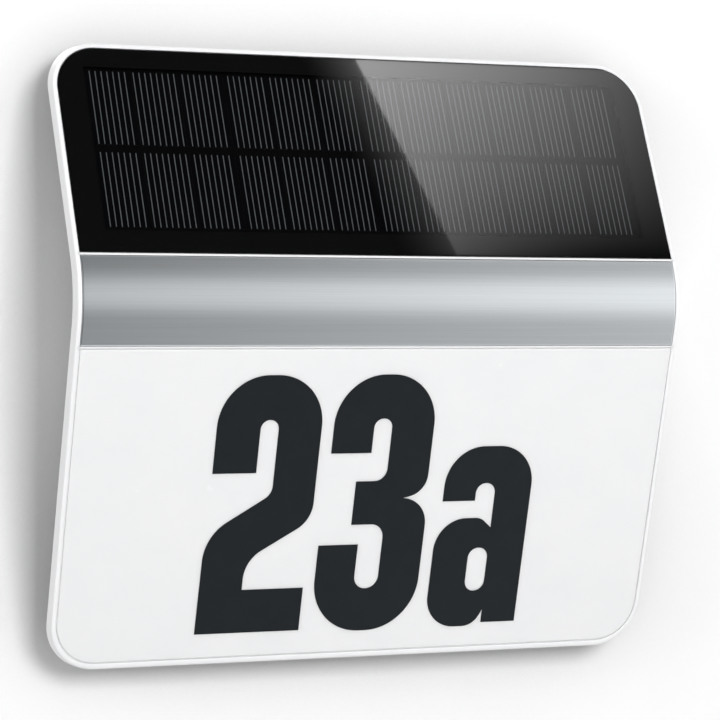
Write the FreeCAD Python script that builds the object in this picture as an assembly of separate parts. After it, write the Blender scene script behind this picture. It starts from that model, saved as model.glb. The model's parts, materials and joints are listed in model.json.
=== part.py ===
import FreeCAD, Part
import math
import os

from FreeCAD import Vector

# Solar house number sign: a bent, wall-hung sign with a solar pane above, a brushed
# trim across the bend and a lit opal panel with the house number below.
#
# Millimetres. +X runs along the wall to the right, +Y points into the wall and +Z up.
# Heights in this file are counted from the sign's bottom edge. save() moves every piece
# down by BRACKET_MID, so that the origin lies in the middle of the bracket's wall face.
# The wall is the plane y = 0.

# ---- the sign as a whole ----
SIGN_WIDTH = 255.0
SIGN_HEIGHT = 242.0
CORNER_R = 18.5
EDGE_STANDOFF = 17.6  # from the wall to the front of the top and bottom edges
APEX_HEIGHT = 146.1  # where the two front planes would meet without the bend
APEX_RISE = 41.9  # how far that line stands in front of the edges
BEND_R = 40.7
FIT = 0.15  # between pieces that are pressed or snapped together
SINK = 0.5  # how far a boss or rib starts inside the wall that it stands on
SPILL = 6.0  # how far a cutting shape runs past what it cuts

# ---- what the frame holds, front to back ----
PANE = 2.8  # the glass and the number panel
TAPE = 0.3
TAPE_WIDTH = 2.2
PANE_GAP = 0.15
PANEL_GAP = 0.4
PANEL_BEVEL = 0.5
GUIDE = 2.5
GUIDE_GAP = 0.1
GUIDE_DROP = 4.75  # from the crossbar down to the light guide's top edge
REFLECTOR = 0.4
CELL = 0.2
CELL_ROWS = 2
CELL_ROW_SPACE = 2.8
CELL_COLUMNS = 12
CELL_SPACE = 0.6
CELL_MARGIN_SIDE = 12.4  # dark border between the frame and the cells
CELL_MARGIN_TOP = 8.9
CELL_MARGIN_BOTTOM = 9.75
BACKING = 0.8
SHEET = 0.8  # aluminium sheet of the trim
TRIM_RETURN = 3.0
TRIM_GAP = 0.1
FILM = 0.25
LED_BOARD = 1.0
LED_BOARD_MARGIN = 22.5
LED_HEIGHT = 1.2
LED_LENGTH = 3.5
LED_COUNT = 10
LED_END = 10.5  # from the board's end to the middle of the last LED

# ---- front frame and rear housing ----
RIM = 1.7  # the frame's white edge at the top and the sides
RIM_BOTTOM = 2.2
RIM_BEVEL = 0.6
BAR_UPPER = 0.9  # white bar between the pane and the trim
BAR_LOWER = 0.8  # white bar between the trim and the number panel
TRIM_TOP = 159.35
TRIM_BOTTOM = 125.05
LEDGE = 1.4
LEDGE_WIDTH = 3.0
PANEL_LEDGE = 2.2
WEB_WINDOW_HALF = 24.0
WEB_WINDOW_MID = 40.0
PLATE = 1.3
TONGUE = 1.4
SEAL = 0.5
SEAL_FIT = 0.1
RIB = 1.4
RIB_DEPTH = 3.0
RIB_END = 32.0  # from the sign's top and bottom edges to the ribs' ends
RIB_FROM_BOX = 14.0
RIB_FROM_SIDE = 27.5
CATCH = 0.6  # how far the housing's snap catches stand into the frame's walls
CATCH_HALF = 5.0
CATCH_FROM_SIDE = 52.5
CATCH_FROM_END = 46.0

# ---- screws ----
PILOT_R = 1.25
SHANK_R = 1.2
CLEAR_R = 1.6
HEAD_R = 2.7
HEAD = 1.8
BOSS_R = 3.2
BOSS_WALL = 0.4  # how much wider the housing's bosses are than the frame's
SEAT_DEPTH = 1.6
CASE_SCREW_FROM_BOX = 8.0
CASE_SCREW_FROM_SIDE = 15.5

# ---- battery cells and their bay ----
CELL_R = 7.25
CELL_LENGTH = 49.5
NIPPLE_R = 2.75
NIPPLE = 1.0
CELL_EDGE = 0.7
CELL_APART = 0.6
CELL_BACK_GAP = 0.4
CELL_END_GAP = 4.2
BAY_SPARE_LENGTH = 7.5
BAY_SPARE_HEIGHT = 1.3
BAY_SPARE_DEPTH = 2.5
BAY_WALL = 1.2
BAY_RIGHT = -2.5
BAY_LIFT = 7.0  # from the box's lower edge to the bay
CONTACT = 0.4
CONTACT_HALF = 5.0
CONTACT_GAP = 0.05
LEAF_WIDTH = 6.0
PIP_R = 2.0

# ---- back box and battery cover ----
BOX_BOTTOM = 84.0
BOX_WALL = 2.0
BOX_CORNER = 6.0
BOX_SPARE = 1.3
WINDOW_SIDE = 1.5
WINDOW_END = 1.0
WINDOW_R = 2.0
BATTERY_SEAL = 1.0
BATTERY_SEAL_INSET = 0.8
BATTERY_SEAL_FIT = 0.05
COVER = 1.6
COVER_OVERLAP = 2.6  # past the window on each side
COVER_FIT = 0.2
COVER_R = 0.8
COVER_GRIPS = 4
COVER_GRIP = 0.7
COVER_GRIP_HALF = 12.0
COVER_GRIP_PITCH = 3.0
RAIL = 1.2

# ---- wall bracket, and the hook that hangs on it ----
BRACKET = 2.5
BRACKET_HALF = 50.0
BRACKET_CORNER = 5.0
BRACKET_BELOW_PADS = 12.0
BRACKET_ABOVE_LIP = 8.0
WALL_HOLE_R = 2.3
WALL_HOLE_SPACING = 80.0
HEAD_SINK = 0.8  # counterbore for a wall screw's head
HEAD_SINK_R = 4.7
FLANGE = 1.4
FLANGE_DEPTH = 2.0
FLANGE_END = 8.0
LIP = 2.0
LIP_HALF = 38.0
LIP_ROUND = 0.6
SHELF = 2.0
HOOK = 1.8
HOOK_HALF = 36.0
HOOK_ROUND = 1.2
HOOK_REACH = 8.0  # how far the sign's hook reaches down behind the lip
HANG_FIT = 0.3
HANG_SPARE = 1.6
LIFT = 18.0  # how far the sign is lifted to come off the bracket
PAD_HALF = 6.0
PAD_X = 34.0
PAD_HEIGHT = 8.0
PAD_ABOVE_COVER = 1.4
PAD_BELOW_SHELF = 2.0
BOX_ABOVE_LIP = 6.0

# ---- mode switch ----
SWITCH_X = 30.0
SWITCH_TRAVEL = 4.0
SWITCH_FIT = 0.3
STEM = 2.6
SWITCH_BODY = (13.0, 6.2, 5.4)
SWITCH_TOP = 1.4
SWITCH_LIFT = 0.4
KNOB_CAP = (13.0, 5.6, 2.2)
KNOB_GRIP = 0.6
KNOB_GRIP_PITCH = 2.0
KNOB_GRIP_WIDTH = 0.8
KNOB_GRIP_HALF = 2.2

# ---- control board and its parts ----
BOARD = 1.6
BOARD_LEFT = 6.0
BOARD_SIDE = 3.0
BOARD_FOOT = 1.6
BOARD_HEAD = 8.0
STANDOFF = 5.0
STANDOFF_R = 3.0
STANDOFF_INSET = 5.0
STANDOFF_LIFT = 12.0
PLUG = (7.0, 6.0, 5.0)
PLUG_WALL = 0.8
PLUG_MOUTH = 1.5
LEAD = 0.6  # half the thickness of a lead
LEAD_TURN = 3.0
LEAD_REACH = 14.0
LEAD_PAST_BAY = 6.0
LEAD_FROM_BAY_END = 10.0
SOLAR_LEAD_RISE = 9.0

# ---- places that follow from the sizes above ----
PANE_SEAT = PANE + TAPE  # from the front down to the ledge that carries pane, trim and panel
LEDGE_BACK = PANE_SEAT + LEDGE
PLATE_FRONT = PANE + 1.5 * GUIDE_GAP + GUIDE + REFLECTOR + FIT
SHELL_DEPTH = PLATE_FRONT + PLATE  # depth of the side walls, along Y
BAR_TOP = TRIM_TOP + BAR_UPPER
BAR_BOTTOM = TRIM_BOTTOM - BAR_LOWER
SLOPE_UPPER = APEX_RISE / (SIGN_HEIGHT - APEX_HEIGHT)
SLOPE_LOWER = APEX_RISE / APEX_HEIGHT
APEX_Y = -EDGE_STANDOFF - APEX_RISE
LEAN_UPPER = math.atan(SLOPE_UPPER)
LEAN_LOWER = math.atan(SLOPE_LOWER)
BEND_REACH = BEND_R * math.tan((LEAN_UPPER + LEAN_LOWER) / 2)
BEND_HIGH = APEX_HEIGHT + BEND_REACH * math.cos(LEAN_UPPER)
BEND_LOW = APEX_HEIGHT - BEND_REACH * math.cos(LEAN_LOWER)
BEND_LOW_Y = APEX_Y + (APEX_HEIGHT - BEND_LOW) * SLOPE_LOWER
CREST = BEND_LOW + BEND_R * math.sin(LEAN_LOWER)  # where the bend's front is upright
CREST_CENTRE_Y = BEND_LOW_Y + BEND_R * math.cos(LEAN_LOWER)
FAR_FRONT = APEX_Y - SPILL  # in front of everything

CELL_STEP = 2 * CELL_R + CELL_APART
BAY_DEPTH = 2 * CELL_R + BAY_SPARE_DEPTH
BAY_LEFT = BAY_RIGHT - CELL_LENGTH - BAY_SPARE_LENGTH
BAY_BOTTOM = BOX_BOTTOM + BAY_LIFT
BAY_TOP = BAY_BOTTOM + 2 * CELL_STEP + 2 * CELL_R + BAY_SPARE_HEIGHT
WINDOW_LEFT = BAY_LEFT + WINDOW_SIDE
WINDOW_RIGHT = BAY_RIGHT - WINDOW_SIDE
WINDOW_BOTTOM = BAY_BOTTOM + WINDOW_END
WINDOW_TOP = BAY_TOP - WINDOW_END
WINDOW_MID = (WINDOW_LEFT + WINDOW_RIGHT) / 2
WINDOW_HALF = (WINDOW_RIGHT - WINDOW_LEFT) / 2
COVER_HALF = WINDOW_HALF + COVER_OVERLAP
COVER_BOTTOM = WINDOW_BOTTOM - COVER_OVERLAP
COVER_TOP = WINDOW_TOP + COVER_OVERLAP

PAD_BOTTOM = COVER_TOP + LIFT + PAD_ABOVE_COVER  # the lifted sign's cover stays below
SHELF_FOOT = PAD_BOTTOM + PAD_HEIGHT + PAD_BELOW_SHELF
LIP_TOP = SHELF_FOOT + SHELF + HOOK_REACH  # where the sign hangs
BRACKET_BOTTOM = PAD_BOTTOM - BRACKET_BELOW_PADS
BRACKET_TOP = LIP_TOP + BRACKET_ABOVE_LIP
BRACKET_MID = (BRACKET_BOTTOM + BRACKET_TOP) / 2
BOX_TOP = LIP_TOP + BOX_ABOVE_LIP
BOX_HALF = -BAY_LEFT + BAY_WALL + BOX_SPARE
BOX_BACK = -(BRACKET + 2 * HANG_FIT + HOOK + LIP + HANG_SPARE)
BOX_INNER_BACK = BOX_BACK - BOX_WALL

BOARD_RIGHT = BOX_HALF - BOX_WALL - BOARD_SIDE
BOARD_BOTTOM = BOX_BOTTOM + BOX_WALL + BOARD_FOOT
BOARD_TOP = BOX_TOP - BOX_WALL - BOARD_HEAD
BOARD_BACK = BOX_INNER_BACK - STANDOFF
BOARD_FRONT = BOARD_BACK - BOARD
SWITCH_Y = BOARD_FRONT - SWITCH_BODY[1] / 2
SWITCH_BASE = BOARD_BOTTOM + SWITCH_LIFT
SWITCH_HIGH = SWITCH_BASE + SWITCH_BODY[2]
CELL_Y = BOX_INNER_BACK - CELL_BACK_GAP - CELL_R
CELL_LEFT = BAY_LEFT + CELL_END_GAP
SOLAR_PLUG = (BOARD_LEFT + 14.0, BOARD_TOP - 8.0)
LED_PLUG = (BOARD_LEFT + 10.0, BOARD_BOTTOM + 24.4)
BATTERY_PLUG = (BOARD_LEFT + 6.0, BOARD_BOTTOM + 40.4)
CHIP_SPOT = (BOARD_LEFT + 30.0, BOARD_BOTTOM + 40.4)
INDUCTOR_SPOT = (BOARD_LEFT + 40.0, BOARD_BOTTOM + 57.4)
CAPACITOR_SPOT = (BOARD_LEFT + 12.0, BOARD_BOTTOM + 52.4)
LEAD_START = BOARD_FRONT - PLUG[1] + PLUG_MOUTH
LED_BOARD_TOP = BAR_BOTTOM - PANEL_LEDGE - GUIDE_GAP / 2
LED_BOARD_BOTTOM = LED_BOARD_TOP - LED_BOARD
LED_BOARD_HALF = SIGN_WIDTH / 2 - LED_BOARD_MARGIN


# ---- drawing ----
def rounded_wire(corners, place):
    """A closed outline through (a, b, radius) corners. place maps (a, b) to a point."""
    spots = []
    count = len(corners)
    for i, (a, b, radius) in enumerate(corners):
        if not radius:
            spots.append((place(a, b), None, place(a, b)))
            continue
        here = Vector(a, b, 0)
        before = (Vector(*corners[i - 1][:2], 0) - here).normalize()
        after = (Vector(*corners[(i + 1) % count][:2], 0) - here).normalize()
        half = before.getAngle(after) / 2
        reach = radius / math.tan(half)
        start = here + before * reach
        end = here + after * reach
        middle = (before + after).normalize()
        centre = here + middle * (radius / math.sin(half))
        crown = centre - middle * radius
        spots.append(tuple(place(p.x, p.y) for p in (start, crown, end)))
    edges = []
    for i, (start, crown, end) in enumerate(spots):
        previous_end = spots[i - 1][2]
        if previous_end.distanceToPoint(start) > 1e-6:
            edges.append(Part.LineSegment(previous_end, start).toShape())
        if crown:
            edges.append(Part.Arc(start, crown, end).toShape())
    return Part.Wire(Part.__sortEdges__(edges))


def prism(corners, front=FAR_FRONT, back=SPILL):
    """An outline seen from the front, given as (x, height, radius), pushed along Y."""
    wire = rounded_wire(corners, lambda x, z: Vector(x, front, z))
    return Part.Face(wire).extrude(Vector(0, back - front, 0))


def bar(corners, half):
    """A side profile, given as (y, height, radius), pushed along X to both sides."""
    wire = rounded_wire(corners, lambda y, z: Vector(-half, y, z))
    return Part.Face(wire).extrude(Vector(2 * half, 0, 0))


def rectangle(half, low, high, low_r=0.0, high_r=0.0, mid=0.0):
    return [
        (mid - half, low, low_r),
        (mid + half, low, low_r),
        (mid + half, high, high_r),
        (mid - half, high, high_r),
    ]


def block(x0, x1, y0, y1, z0, z1):
    return Part.makeBox(x1 - x0, y1 - y0, z1 - z0, Vector(x0, y0, z0))


def rod(radius, x, z, y0, y1):
    """A cylinder along Y."""
    return Part.makeCylinder(radius, y1 - y0, Vector(x, y0, z), Vector(0, 1, 0))


def circles(solid):
    return [edge for edge in solid.Edges if edge.Curve.TypeId == "Part::GeomCircle"]


def layer(near, far):
    """What lies between two depths behind the sign's front surface, along Y."""
    top = SIGN_HEIGHT + SPILL
    top_y = -EDGE_STANDOFF + SPILL * SLOPE_UPPER
    low_y = -EDGE_STANDOFF + SPILL * SLOPE_LOWER
    corners = [
        (top_y + near, top, 0),
        (APEX_Y + near, APEX_HEIGHT, BEND_R),
        (low_y + near, -SPILL, 0),
        (low_y + far, -SPILL, 0),
        (APEX_Y + far, APEX_HEIGHT, BEND_R),
        (top_y + far, top, 0),
    ]
    return bar(corners, SIGN_WIDTH / 2 + SPILL)


def front_y(z):
    """Where the sign's front surface lies at this height."""
    if z >= BEND_HIGH:
        return APEX_Y + (z - APEX_HEIGHT) * SLOPE_UPPER
    if z <= BEND_LOW:
        return APEX_Y + (APEX_HEIGHT - z) * SLOPE_LOWER
    return CREST_CENTRE_Y - math.sqrt(BEND_R**2 - (z - CREST) ** 2)


def front_edges(solid):
    """The edges that lie on the sign's front surface."""
    found = []
    for edge in solid.Edges:
        middle = edge.valueAt((edge.FirstParameter + edge.LastParameter) / 2)
        if abs(middle.y - front_y(middle.z)) < 1e-3:
            found.append(edge)
    return found


def outline(inset, low_inset):
    """The sign's outline, drawn in by inset, and by low_inset at the bottom."""
    corner = max(CORNER_R - inset, SINK)
    area = rectangle(SIGN_WIDTH / 2 - inset, low_inset, SIGN_HEIGHT - inset, corner, corner)
    return prism(area)


def opening(inset):
    """The frame's opening, drawn in by inset from the white edge."""
    return outline(RIM + inset, RIM_BOTTOM + inset)


def opening_band(inset, low, high):
    """The part of the frame's opening between two heights."""
    band = block(-SIGN_WIDTH, SIGN_WIDTH, FAR_FRONT - SPILL, 2 * SPILL, low, high)
    return opening(inset).common(band)


def ring(inset, width, near, far):
    """A closed strip that follows the frame's opening."""
    return layer(near, far).common(opening(inset)).cut(opening(inset + width))


def band_ring(inset, width, near, far, low, high):
    """A closed strip round the part of the opening between two heights."""
    inner = opening_band(inset + width, low + width, high - width)
    return layer(near, far).common(opening_band(inset, low, high)).cut(inner)


def save(name, shape):
    if shape.ShapeType != "Compound":
        shape = shape.removeSplitter()
    shape.translate(Vector(0, 0, -BRACKET_MID))
    shape.exportStep(os.path.join("parts", name + ".step"))
    solids = shape.Solids
    print(name, len(solids), "solids", round(sum(s.Volume for s in solids)), "mm3", shape.isValid())


# ---- front frame ----
def case_screw_spots():
    inner = BOX_HALF + CASE_SCREW_FROM_BOX
    outer = SIGN_WIDTH / 2 - CASE_SCREW_FROM_SIDE
    return [(side * x, CREST) for x in (inner, outer) for side in (-1, 1)]


def catches(room=0.0):
    """The snap catches round the housing's edge. room makes the pockets that take them."""
    half = CATCH_HALF + room
    edge = RIM + FIT
    bottom = RIM_BOTTOM + FIT
    top = SIGN_HEIGHT - edge
    bumps = []
    for side in (-1, 1):
        x = side * (SIGN_WIDTH / 2 - CATCH_FROM_SIDE)
        bumps.append(rectangle(half, bottom - CATCH - room, bottom + CATCH, mid=x))
        bumps.append(rectangle(half, top - CATCH, top + CATCH + room, mid=x))
        for z in (CATCH_FROM_END, SIGN_HEIGHT - CATCH_FROM_END):
            mid = side * (SIGN_WIDTH / 2 - edge + room / 2)
            bumps.append(rectangle(CATCH + room / 2, z - half, z + half, mid=mid))
    band = layer(PLATE_FRONT + FIT - room, SHELL_DEPTH - 2 * FIT + room)
    return [band.common(prism(bump)) for bump in bumps]


def front_frame():
    inner = opening(0)
    body = layer(0, SHELL_DEPTH).common(outline(0, 0))
    body = body.makeChamfer(RIM_BEVEL, front_edges(body))
    seats = layer(PANE_SEAT, LEDGE_BACK).common(inner)
    seats = seats.cut(opening_band(LEDGE_WIDTH, BAR_TOP + LEDGE_WIDTH, SIGN_HEIGHT))
    seats = seats.cut(opening_band(LEDGE_WIDTH, 0, BAR_BOTTOM - PANEL_LEDGE))
    low = TRIM_BOTTOM + LEDGE_WIDTH
    high = TRIM_TOP - LEDGE_WIDTH
    for mid in (-WEB_WINDOW_MID, WEB_WINDOW_MID):
        seats = seats.cut(prism(rectangle(WEB_WINDOW_HALF, low, high, mid=mid)))
    pieces = [
        seats,
        layer(0, PANE_SEAT).common(opening_band(0, TRIM_TOP, BAR_TOP)),
        layer(0, PANE_SEAT).common(opening_band(0, BAR_BOTTOM, TRIM_BOTTOM)),
    ]
    for x, z in case_screw_spots():
        near = front_y(z) + LEDGE_BACK - SINK
        pieces.append(rod(BOSS_R, x, z, near, front_y(z) + PLATE_FRONT - FIT))
    frame = body.cut(inner).multiFuse(pieces)
    for x, z in case_screw_spots():
        frame = frame.cut(rod(PILOT_R, x, z, front_y(z) + PANE_SEAT + SINK, 0))
    for pocket in catches(FIT):
        frame = frame.cut(pocket)
    return frame


# ---- what the frame holds ----
def solar_glass():
    return layer(0, PANE).common(opening_band(PANE_GAP, BAR_TOP + PANE_GAP, SIGN_HEIGHT))


def pane_tape():
    edge = PANE_GAP + FIT
    high = SIGN_HEIGHT - RIM - edge
    return band_ring(edge, TAPE_WIDTH, PANE, PANE_SEAT, BAR_TOP + edge, high)


def panel_tape():
    edge = PANEL_GAP + FIT
    low = RIM_BOTTOM + edge
    width = TAPE_WIDTH - PANEL_GAP - FIT
    return band_ring(edge, width, PANE, PANE_SEAT, low, BAR_BOTTOM - edge)


def solar_cells():
    low = BAR_TOP + CELL_MARGIN_BOTTOM
    high = SIGN_HEIGHT - RIM - CELL_MARGIN_TOP
    row_pitch = (high - low + CELL_ROW_SPACE) / CELL_ROWS
    pitch = (SIGN_WIDTH - 2 * (RIM + CELL_MARGIN_SIDE) + CELL_SPACE) / CELL_COLUMNS
    sheet = layer(PANE, PANE + CELL)
    cells = []
    for row in range(CELL_ROWS):
        bottom = low + row * row_pitch
        top = bottom + row_pitch - CELL_ROW_SPACE
        for column in range(CELL_COLUMNS):
            mid = (column - (CELL_COLUMNS - 1) / 2) * pitch
            area = rectangle((pitch - CELL_SPACE) / 2, bottom, top, mid=mid)
            cells.append(sheet.common(prism(area)))
    return Part.makeCompound(cells)


def solar_backing():
    low = BAR_TOP + LEDGE_WIDTH + FIT
    near = PANE + CELL
    return layer(near, near + BACKING).common(opening_band(LEDGE_WIDTH + FIT, low, SIGN_HEIGHT))


def aluminium_trim():
    low = TRIM_BOTTOM + TRIM_GAP
    high = TRIM_TOP - TRIM_GAP
    outer = layer(0, TRIM_RETURN).common(opening_band(PANE_GAP, low, high))
    hollow = opening_band(PANE_GAP + SHEET, low + SHEET, high - SHEET)
    return outer.cut(layer(SHEET, TRIM_RETURN + SPILL).common(hollow))


def number_panel():
    panel = layer(0, PANE).common(opening_band(PANEL_GAP, 0, BAR_BOTTOM - PANEL_GAP))
    return panel.makeChamfer(PANEL_BEVEL, front_edges(panel))


def behind_panel(near, thick):
    """A flat sheet behind the number panel, from the bottom up to the LEDs."""
    area = opening_band(LEDGE_WIDTH + 2 * FIT, 0, BAR_BOTTOM - GUIDE_DROP)
    return layer(near, near + thick).common(area)


def light_guide():
    return behind_panel(PANE + GUIDE_GAP, GUIDE)


def reflector_sheet():
    return behind_panel(PANE + 1.5 * GUIDE_GAP + GUIDE, REFLECTOR)


def led_board():
    strip = rectangle(LED_BOARD_HALF, LED_BOARD_BOTTOM, LED_BOARD_TOP)
    return layer(PANE + GUIDE_GAP, PLATE_FRONT - GUIDE_GAP).common(prism(strip))


def leds():
    pitch = 2 * (LED_BOARD_HALF - LED_END) / (LED_COUNT - 1)
    near = front_y(LED_BOARD_BOTTOM - LED_HEIGHT) + PANE + 2 * GUIDE_GAP
    far = near + GUIDE - 4 * GUIDE_GAP
    low = LED_BOARD_BOTTOM - LED_HEIGHT
    pieces = []
    for i in range(LED_COUNT):
        left = (i - (LED_COUNT - 1) / 2) * pitch - LED_LENGTH / 2
        pieces.append(block(left, left + LED_LENGTH, near, far, low, LED_BOARD_BOTTOM))
    return Part.makeCompound(pieces)


# ---- numerals, as (x, height, corner radius) from the left of the 2 and its base line ----
NUMBER_LEFT = -75.0
NUMBER_BASE = 12.2
NUMBER_TOP = 101.8
STROKE_FOOT = 17.3
COUNTER_R = 3.7

NUMERAL_2 = [
    (5.8, 0, 0),
    (49.7, 0, 0),
    (49.7, STROKE_FOOT, 0),
    (23.8, STROKE_FOOT, 0),
    (23.8, 29.0, 13.0),
    (50.3, 44.5, 12.0),
    (50.3, NUMBER_TOP, 20.0),
    (6.8, NUMBER_TOP, 20.0),
    (6.8, 63.7, 0),
    (24.8, 63.7, 0),
    (24.8, 84.4, COUNTER_R),
    (32.4, 84.4, COUNTER_R),
    (32.4, 55.2, 6.0),
    (6.2, 39.2, 18.0),
]

NUMERAL_3 = [
    (55.5, 70.8, 0),
    (72.6, 70.8, 0),
    (72.6, 84.4, COUNTER_R),
    (80.4, 84.4, COUNTER_R),
    (80.4, 59.5, 5.0),
    (67.5, 59.5, 0),
    (67.5, 42.1, 0),
    (81.7, 42.1, 5.5),
    (81.7, 16.1, 5.0),
    (71.3, 16.1, 5.0),
    (71.3, 34.1, 0),
    (54.4, 34.1, 0),
    (54.4, -1.2, 21.0),
    (99.5, -1.2, 21.0),
    (99.5, 50.3, 11.0),
    (88.7, 52.5, 0),
    (98.4, 54.6, 9.0),
    (98.4, NUMBER_TOP, 20.0),
    (55.5, NUMBER_TOP, 20.0),
]

LETTER_A = [
    (106.2, 50.6, 0),
    (120.4, 50.6, 0),
    (120.4, 57.7, 4.1),
    (128.9, 57.7, 4.1),
    (129.0, 39.4, 0),
    (124.0, 43.5, 6.0),
    (104.6, 43.5, 13.0),
    (104.6, -1.3, 13.0),
    (126.2, -1.3, 8.0),
    (129.8, 5.5, 0),
    (129.8, 0, 0),
    (144.9, 0, 0),
    (144.9, 72.7, 16.0),
    (106.2, 72.7, 16.0),
]

LETTER_A_COUNTER = [
    (120.4, 13.4, 4.2),
    (129.1, 13.4, 4.2),
    (129.1, 31.2, 4.2),
    (120.4, 31.2, 4.2),
]


def on_panel(corners):
    moved = [(NUMBER_LEFT + x, NUMBER_BASE + z, radius) for x, z, radius in corners]
    return layer(-FILM, 0).common(prism(moved))


# ---- rear housing ----
def standoff_spots():
    left = BOARD_LEFT + STANDOFF_INSET
    right = BOARD_RIGHT - STANDOFF_INSET
    high = BOARD_TOP - STANDOFF_INSET
    return [(left, high), (right, high), (right, BOARD_BOTTOM + STANDOFF_LIFT)]


def cover_rail(side):
    """An L-shaped rail that holds one edge of the sliding battery cover."""
    edge = WINDOW_MID + side * (COVER_HALF + COVER_FIT)
    outer = edge + side * RAIL
    lip = edge - side * (RAIL + COVER_FIT)
    under = BOX_BACK + COVER + COVER_FIT
    corners = [
        (edge, BOX_BACK - SINK, 0),
        (outer, BOX_BACK - SINK, 0),
        (outer, under + RAIL, 0),
        (lip, under + RAIL, 0),
        (lip, under, 0),
        (edge, under, 0),
    ]
    wire = rounded_wire(corners, lambda x, y: Vector(x, y, COVER_BOTTOM))
    return Part.Face(wire).extrude(Vector(0, 0, COVER_TOP - COVER_BOTTOM))


def hanging_hook():
    """The hook on the back that drops over the bracket's lip."""
    near_wall = -BRACKET - HANG_FIT
    from_wall = near_wall - HOOK
    end = LIP_TOP - HOOK_REACH + SINK
    corners = [
        (BOX_BACK - SINK, LIP_TOP, 0),
        (from_wall, LIP_TOP, 0),
        (from_wall, end, 0),
        (near_wall, end, 0),
        (near_wall, LIP_TOP + HOOK, HOOK_ROUND),
        (BOX_BACK - SINK, LIP_TOP + HOOK + HOOK_ROUND, 0),
    ]
    return bar(corners, HOOK_HALF)


def back_ribs():
    strips = layer(SHELL_DEPTH - SINK, SHELL_DEPTH + RIB_DEPTH)
    ribs = []
    for x in (BOX_HALF + RIB_FROM_BOX, SIGN_WIDTH / 2 - RIB_FROM_SIDE):
        for side in (-1, 1):
            area = rectangle(RIB / 2, RIB_END, SIGN_HEIGHT - RIB_END, mid=side * x)
            ribs.append(strips.common(prism(area)))
    return ribs


def switch_slot(z0, z1):
    """The slot that the mode switch's stem slides in."""
    half_x = (STEM + SWITCH_TRAVEL) / 2 + SWITCH_FIT
    half_y = STEM / 2 + SWITCH_FIT
    return block(
        SWITCH_X - half_x, SWITCH_X + half_x, SWITCH_Y - half_y, SWITCH_Y + half_y, z0, z1
    )


def battery_bay(wall):
    """The battery bay's room, with a wall of this thickness round it."""
    front = BOX_INNER_BACK - BAY_DEPTH - wall
    back = BOX_INNER_BACK + (SINK if wall else 0)
    return block(
        BAY_LEFT - wall, BAY_RIGHT + wall, front, back, BAY_BOTTOM - wall, BAY_TOP + wall
    )


def rear_housing():
    plate = layer(PLATE_FRONT, SHELL_DEPTH).common(opening(FIT))
    tongue = ring(FIT, TONGUE, LEDGE_BACK + SEAL, PLATE_FRONT)
    box_area = rectangle(BOX_HALF, BOX_BOTTOM, BOX_TOP, BOX_CORNER, BOX_CORNER)
    box = prism(box_area, back=BOX_BACK).common(layer(PLATE_FRONT, -FAR_FRONT))
    room_half = BOX_HALF - BOX_WALL
    room_r = BOX_CORNER - BOX_WALL
    room = rectangle(room_half, BOX_BOTTOM + BOX_WALL, BOX_TOP - BOX_WALL, room_r, room_r)
    bosses = []
    for x, z in case_screw_spots():
        near = front_y(z) + PLATE_FRONT + SINK
        bosses.append(rod(BOSS_R + BOSS_WALL, x, z, near, front_y(z) + SHELL_DEPTH + SEAT_DEPTH))
    housing = plate.multiFuse([tongue, box] + back_ribs() + bosses + catches())
    housing = housing.cut(prism(room, back=BOX_INNER_BACK))
    for x, z in case_screw_spots():
        housing = housing.cut(rod(CLEAR_R, x, z, FAR_FRONT, 0))
    fittings = [battery_bay(BAY_WALL), hanging_hook(), cover_rail(-1), cover_rail(1)]
    for x, z in standoff_spots():
        fittings.append(rod(STANDOFF_R, x, z, BOARD_BACK, BOX_INNER_BACK + SINK))
    housing = housing.multiFuse(fittings).cut(battery_bay(0))
    window = rectangle(WINDOW_HALF, WINDOW_BOTTOM, WINDOW_TOP, WINDOW_R, WINDOW_R, WINDOW_MID)
    housing = housing.cut(prism(window, front=BOX_INNER_BACK - SINK))
    housing = housing.cut(battery_seal(BATTERY_SEAL_FIT))
    for x, z in standoff_spots():
        housing = housing.cut(rod(PILOT_R, x, z, BOARD_BACK - SINK, BOX_INNER_BACK))
    return housing.cut(switch_slot(BOX_BOTTOM - SINK, BOX_BOTTOM + BOX_WALL + SINK))


def housing_seal():
    return ring(FIT + SEAL_FIT, TONGUE - 2 * SEAL_FIT, LEDGE_BACK, LEDGE_BACK + SEAL)


def battery_seal(grow=0.0):
    """The flat ring in its groove round the battery window. grow gives the groove."""
    rings = []
    for margin in (BATTERY_SEAL_INSET + BATTERY_SEAL + grow, BATTERY_SEAL_INSET - grow):
        low = WINDOW_BOTTOM - margin
        high = WINDOW_TOP + margin
        corner = WINDOW_R + margin
        area = rectangle(WINDOW_HALF + margin, low, high, corner, corner, WINDOW_MID)
        rings.append(prism(area, front=BOX_BACK - BATTERY_SEAL - grow, back=BOX_BACK))
    return rings[0].cut(rings[1])


def battery_cover():
    near = BOX_BACK + COVER_FIT / 2
    back = near + COVER
    area = rectangle(COVER_HALF, COVER_BOTTOM, COVER_TOP, COVER_R, COVER_R, WINDOW_MID)
    cover = prism(area, front=near, back=back)
    left = WINDOW_MID - COVER_GRIP_HALF
    right = WINDOW_MID + COVER_GRIP_HALF
    for i in range(COVER_GRIPS):
        z = COVER_BOTTOM + (i + 2) * COVER_GRIP_PITCH
        cover = cover.fuse(block(left, right, back - SINK, back + COVER_GRIP, z, z + RAIL))
    return cover


# ---- battery cells and contacts ----
def cell_height(i):
    return (BAY_BOTTOM + BAY_TOP) / 2 + (1 - i) * CELL_STEP


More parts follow.
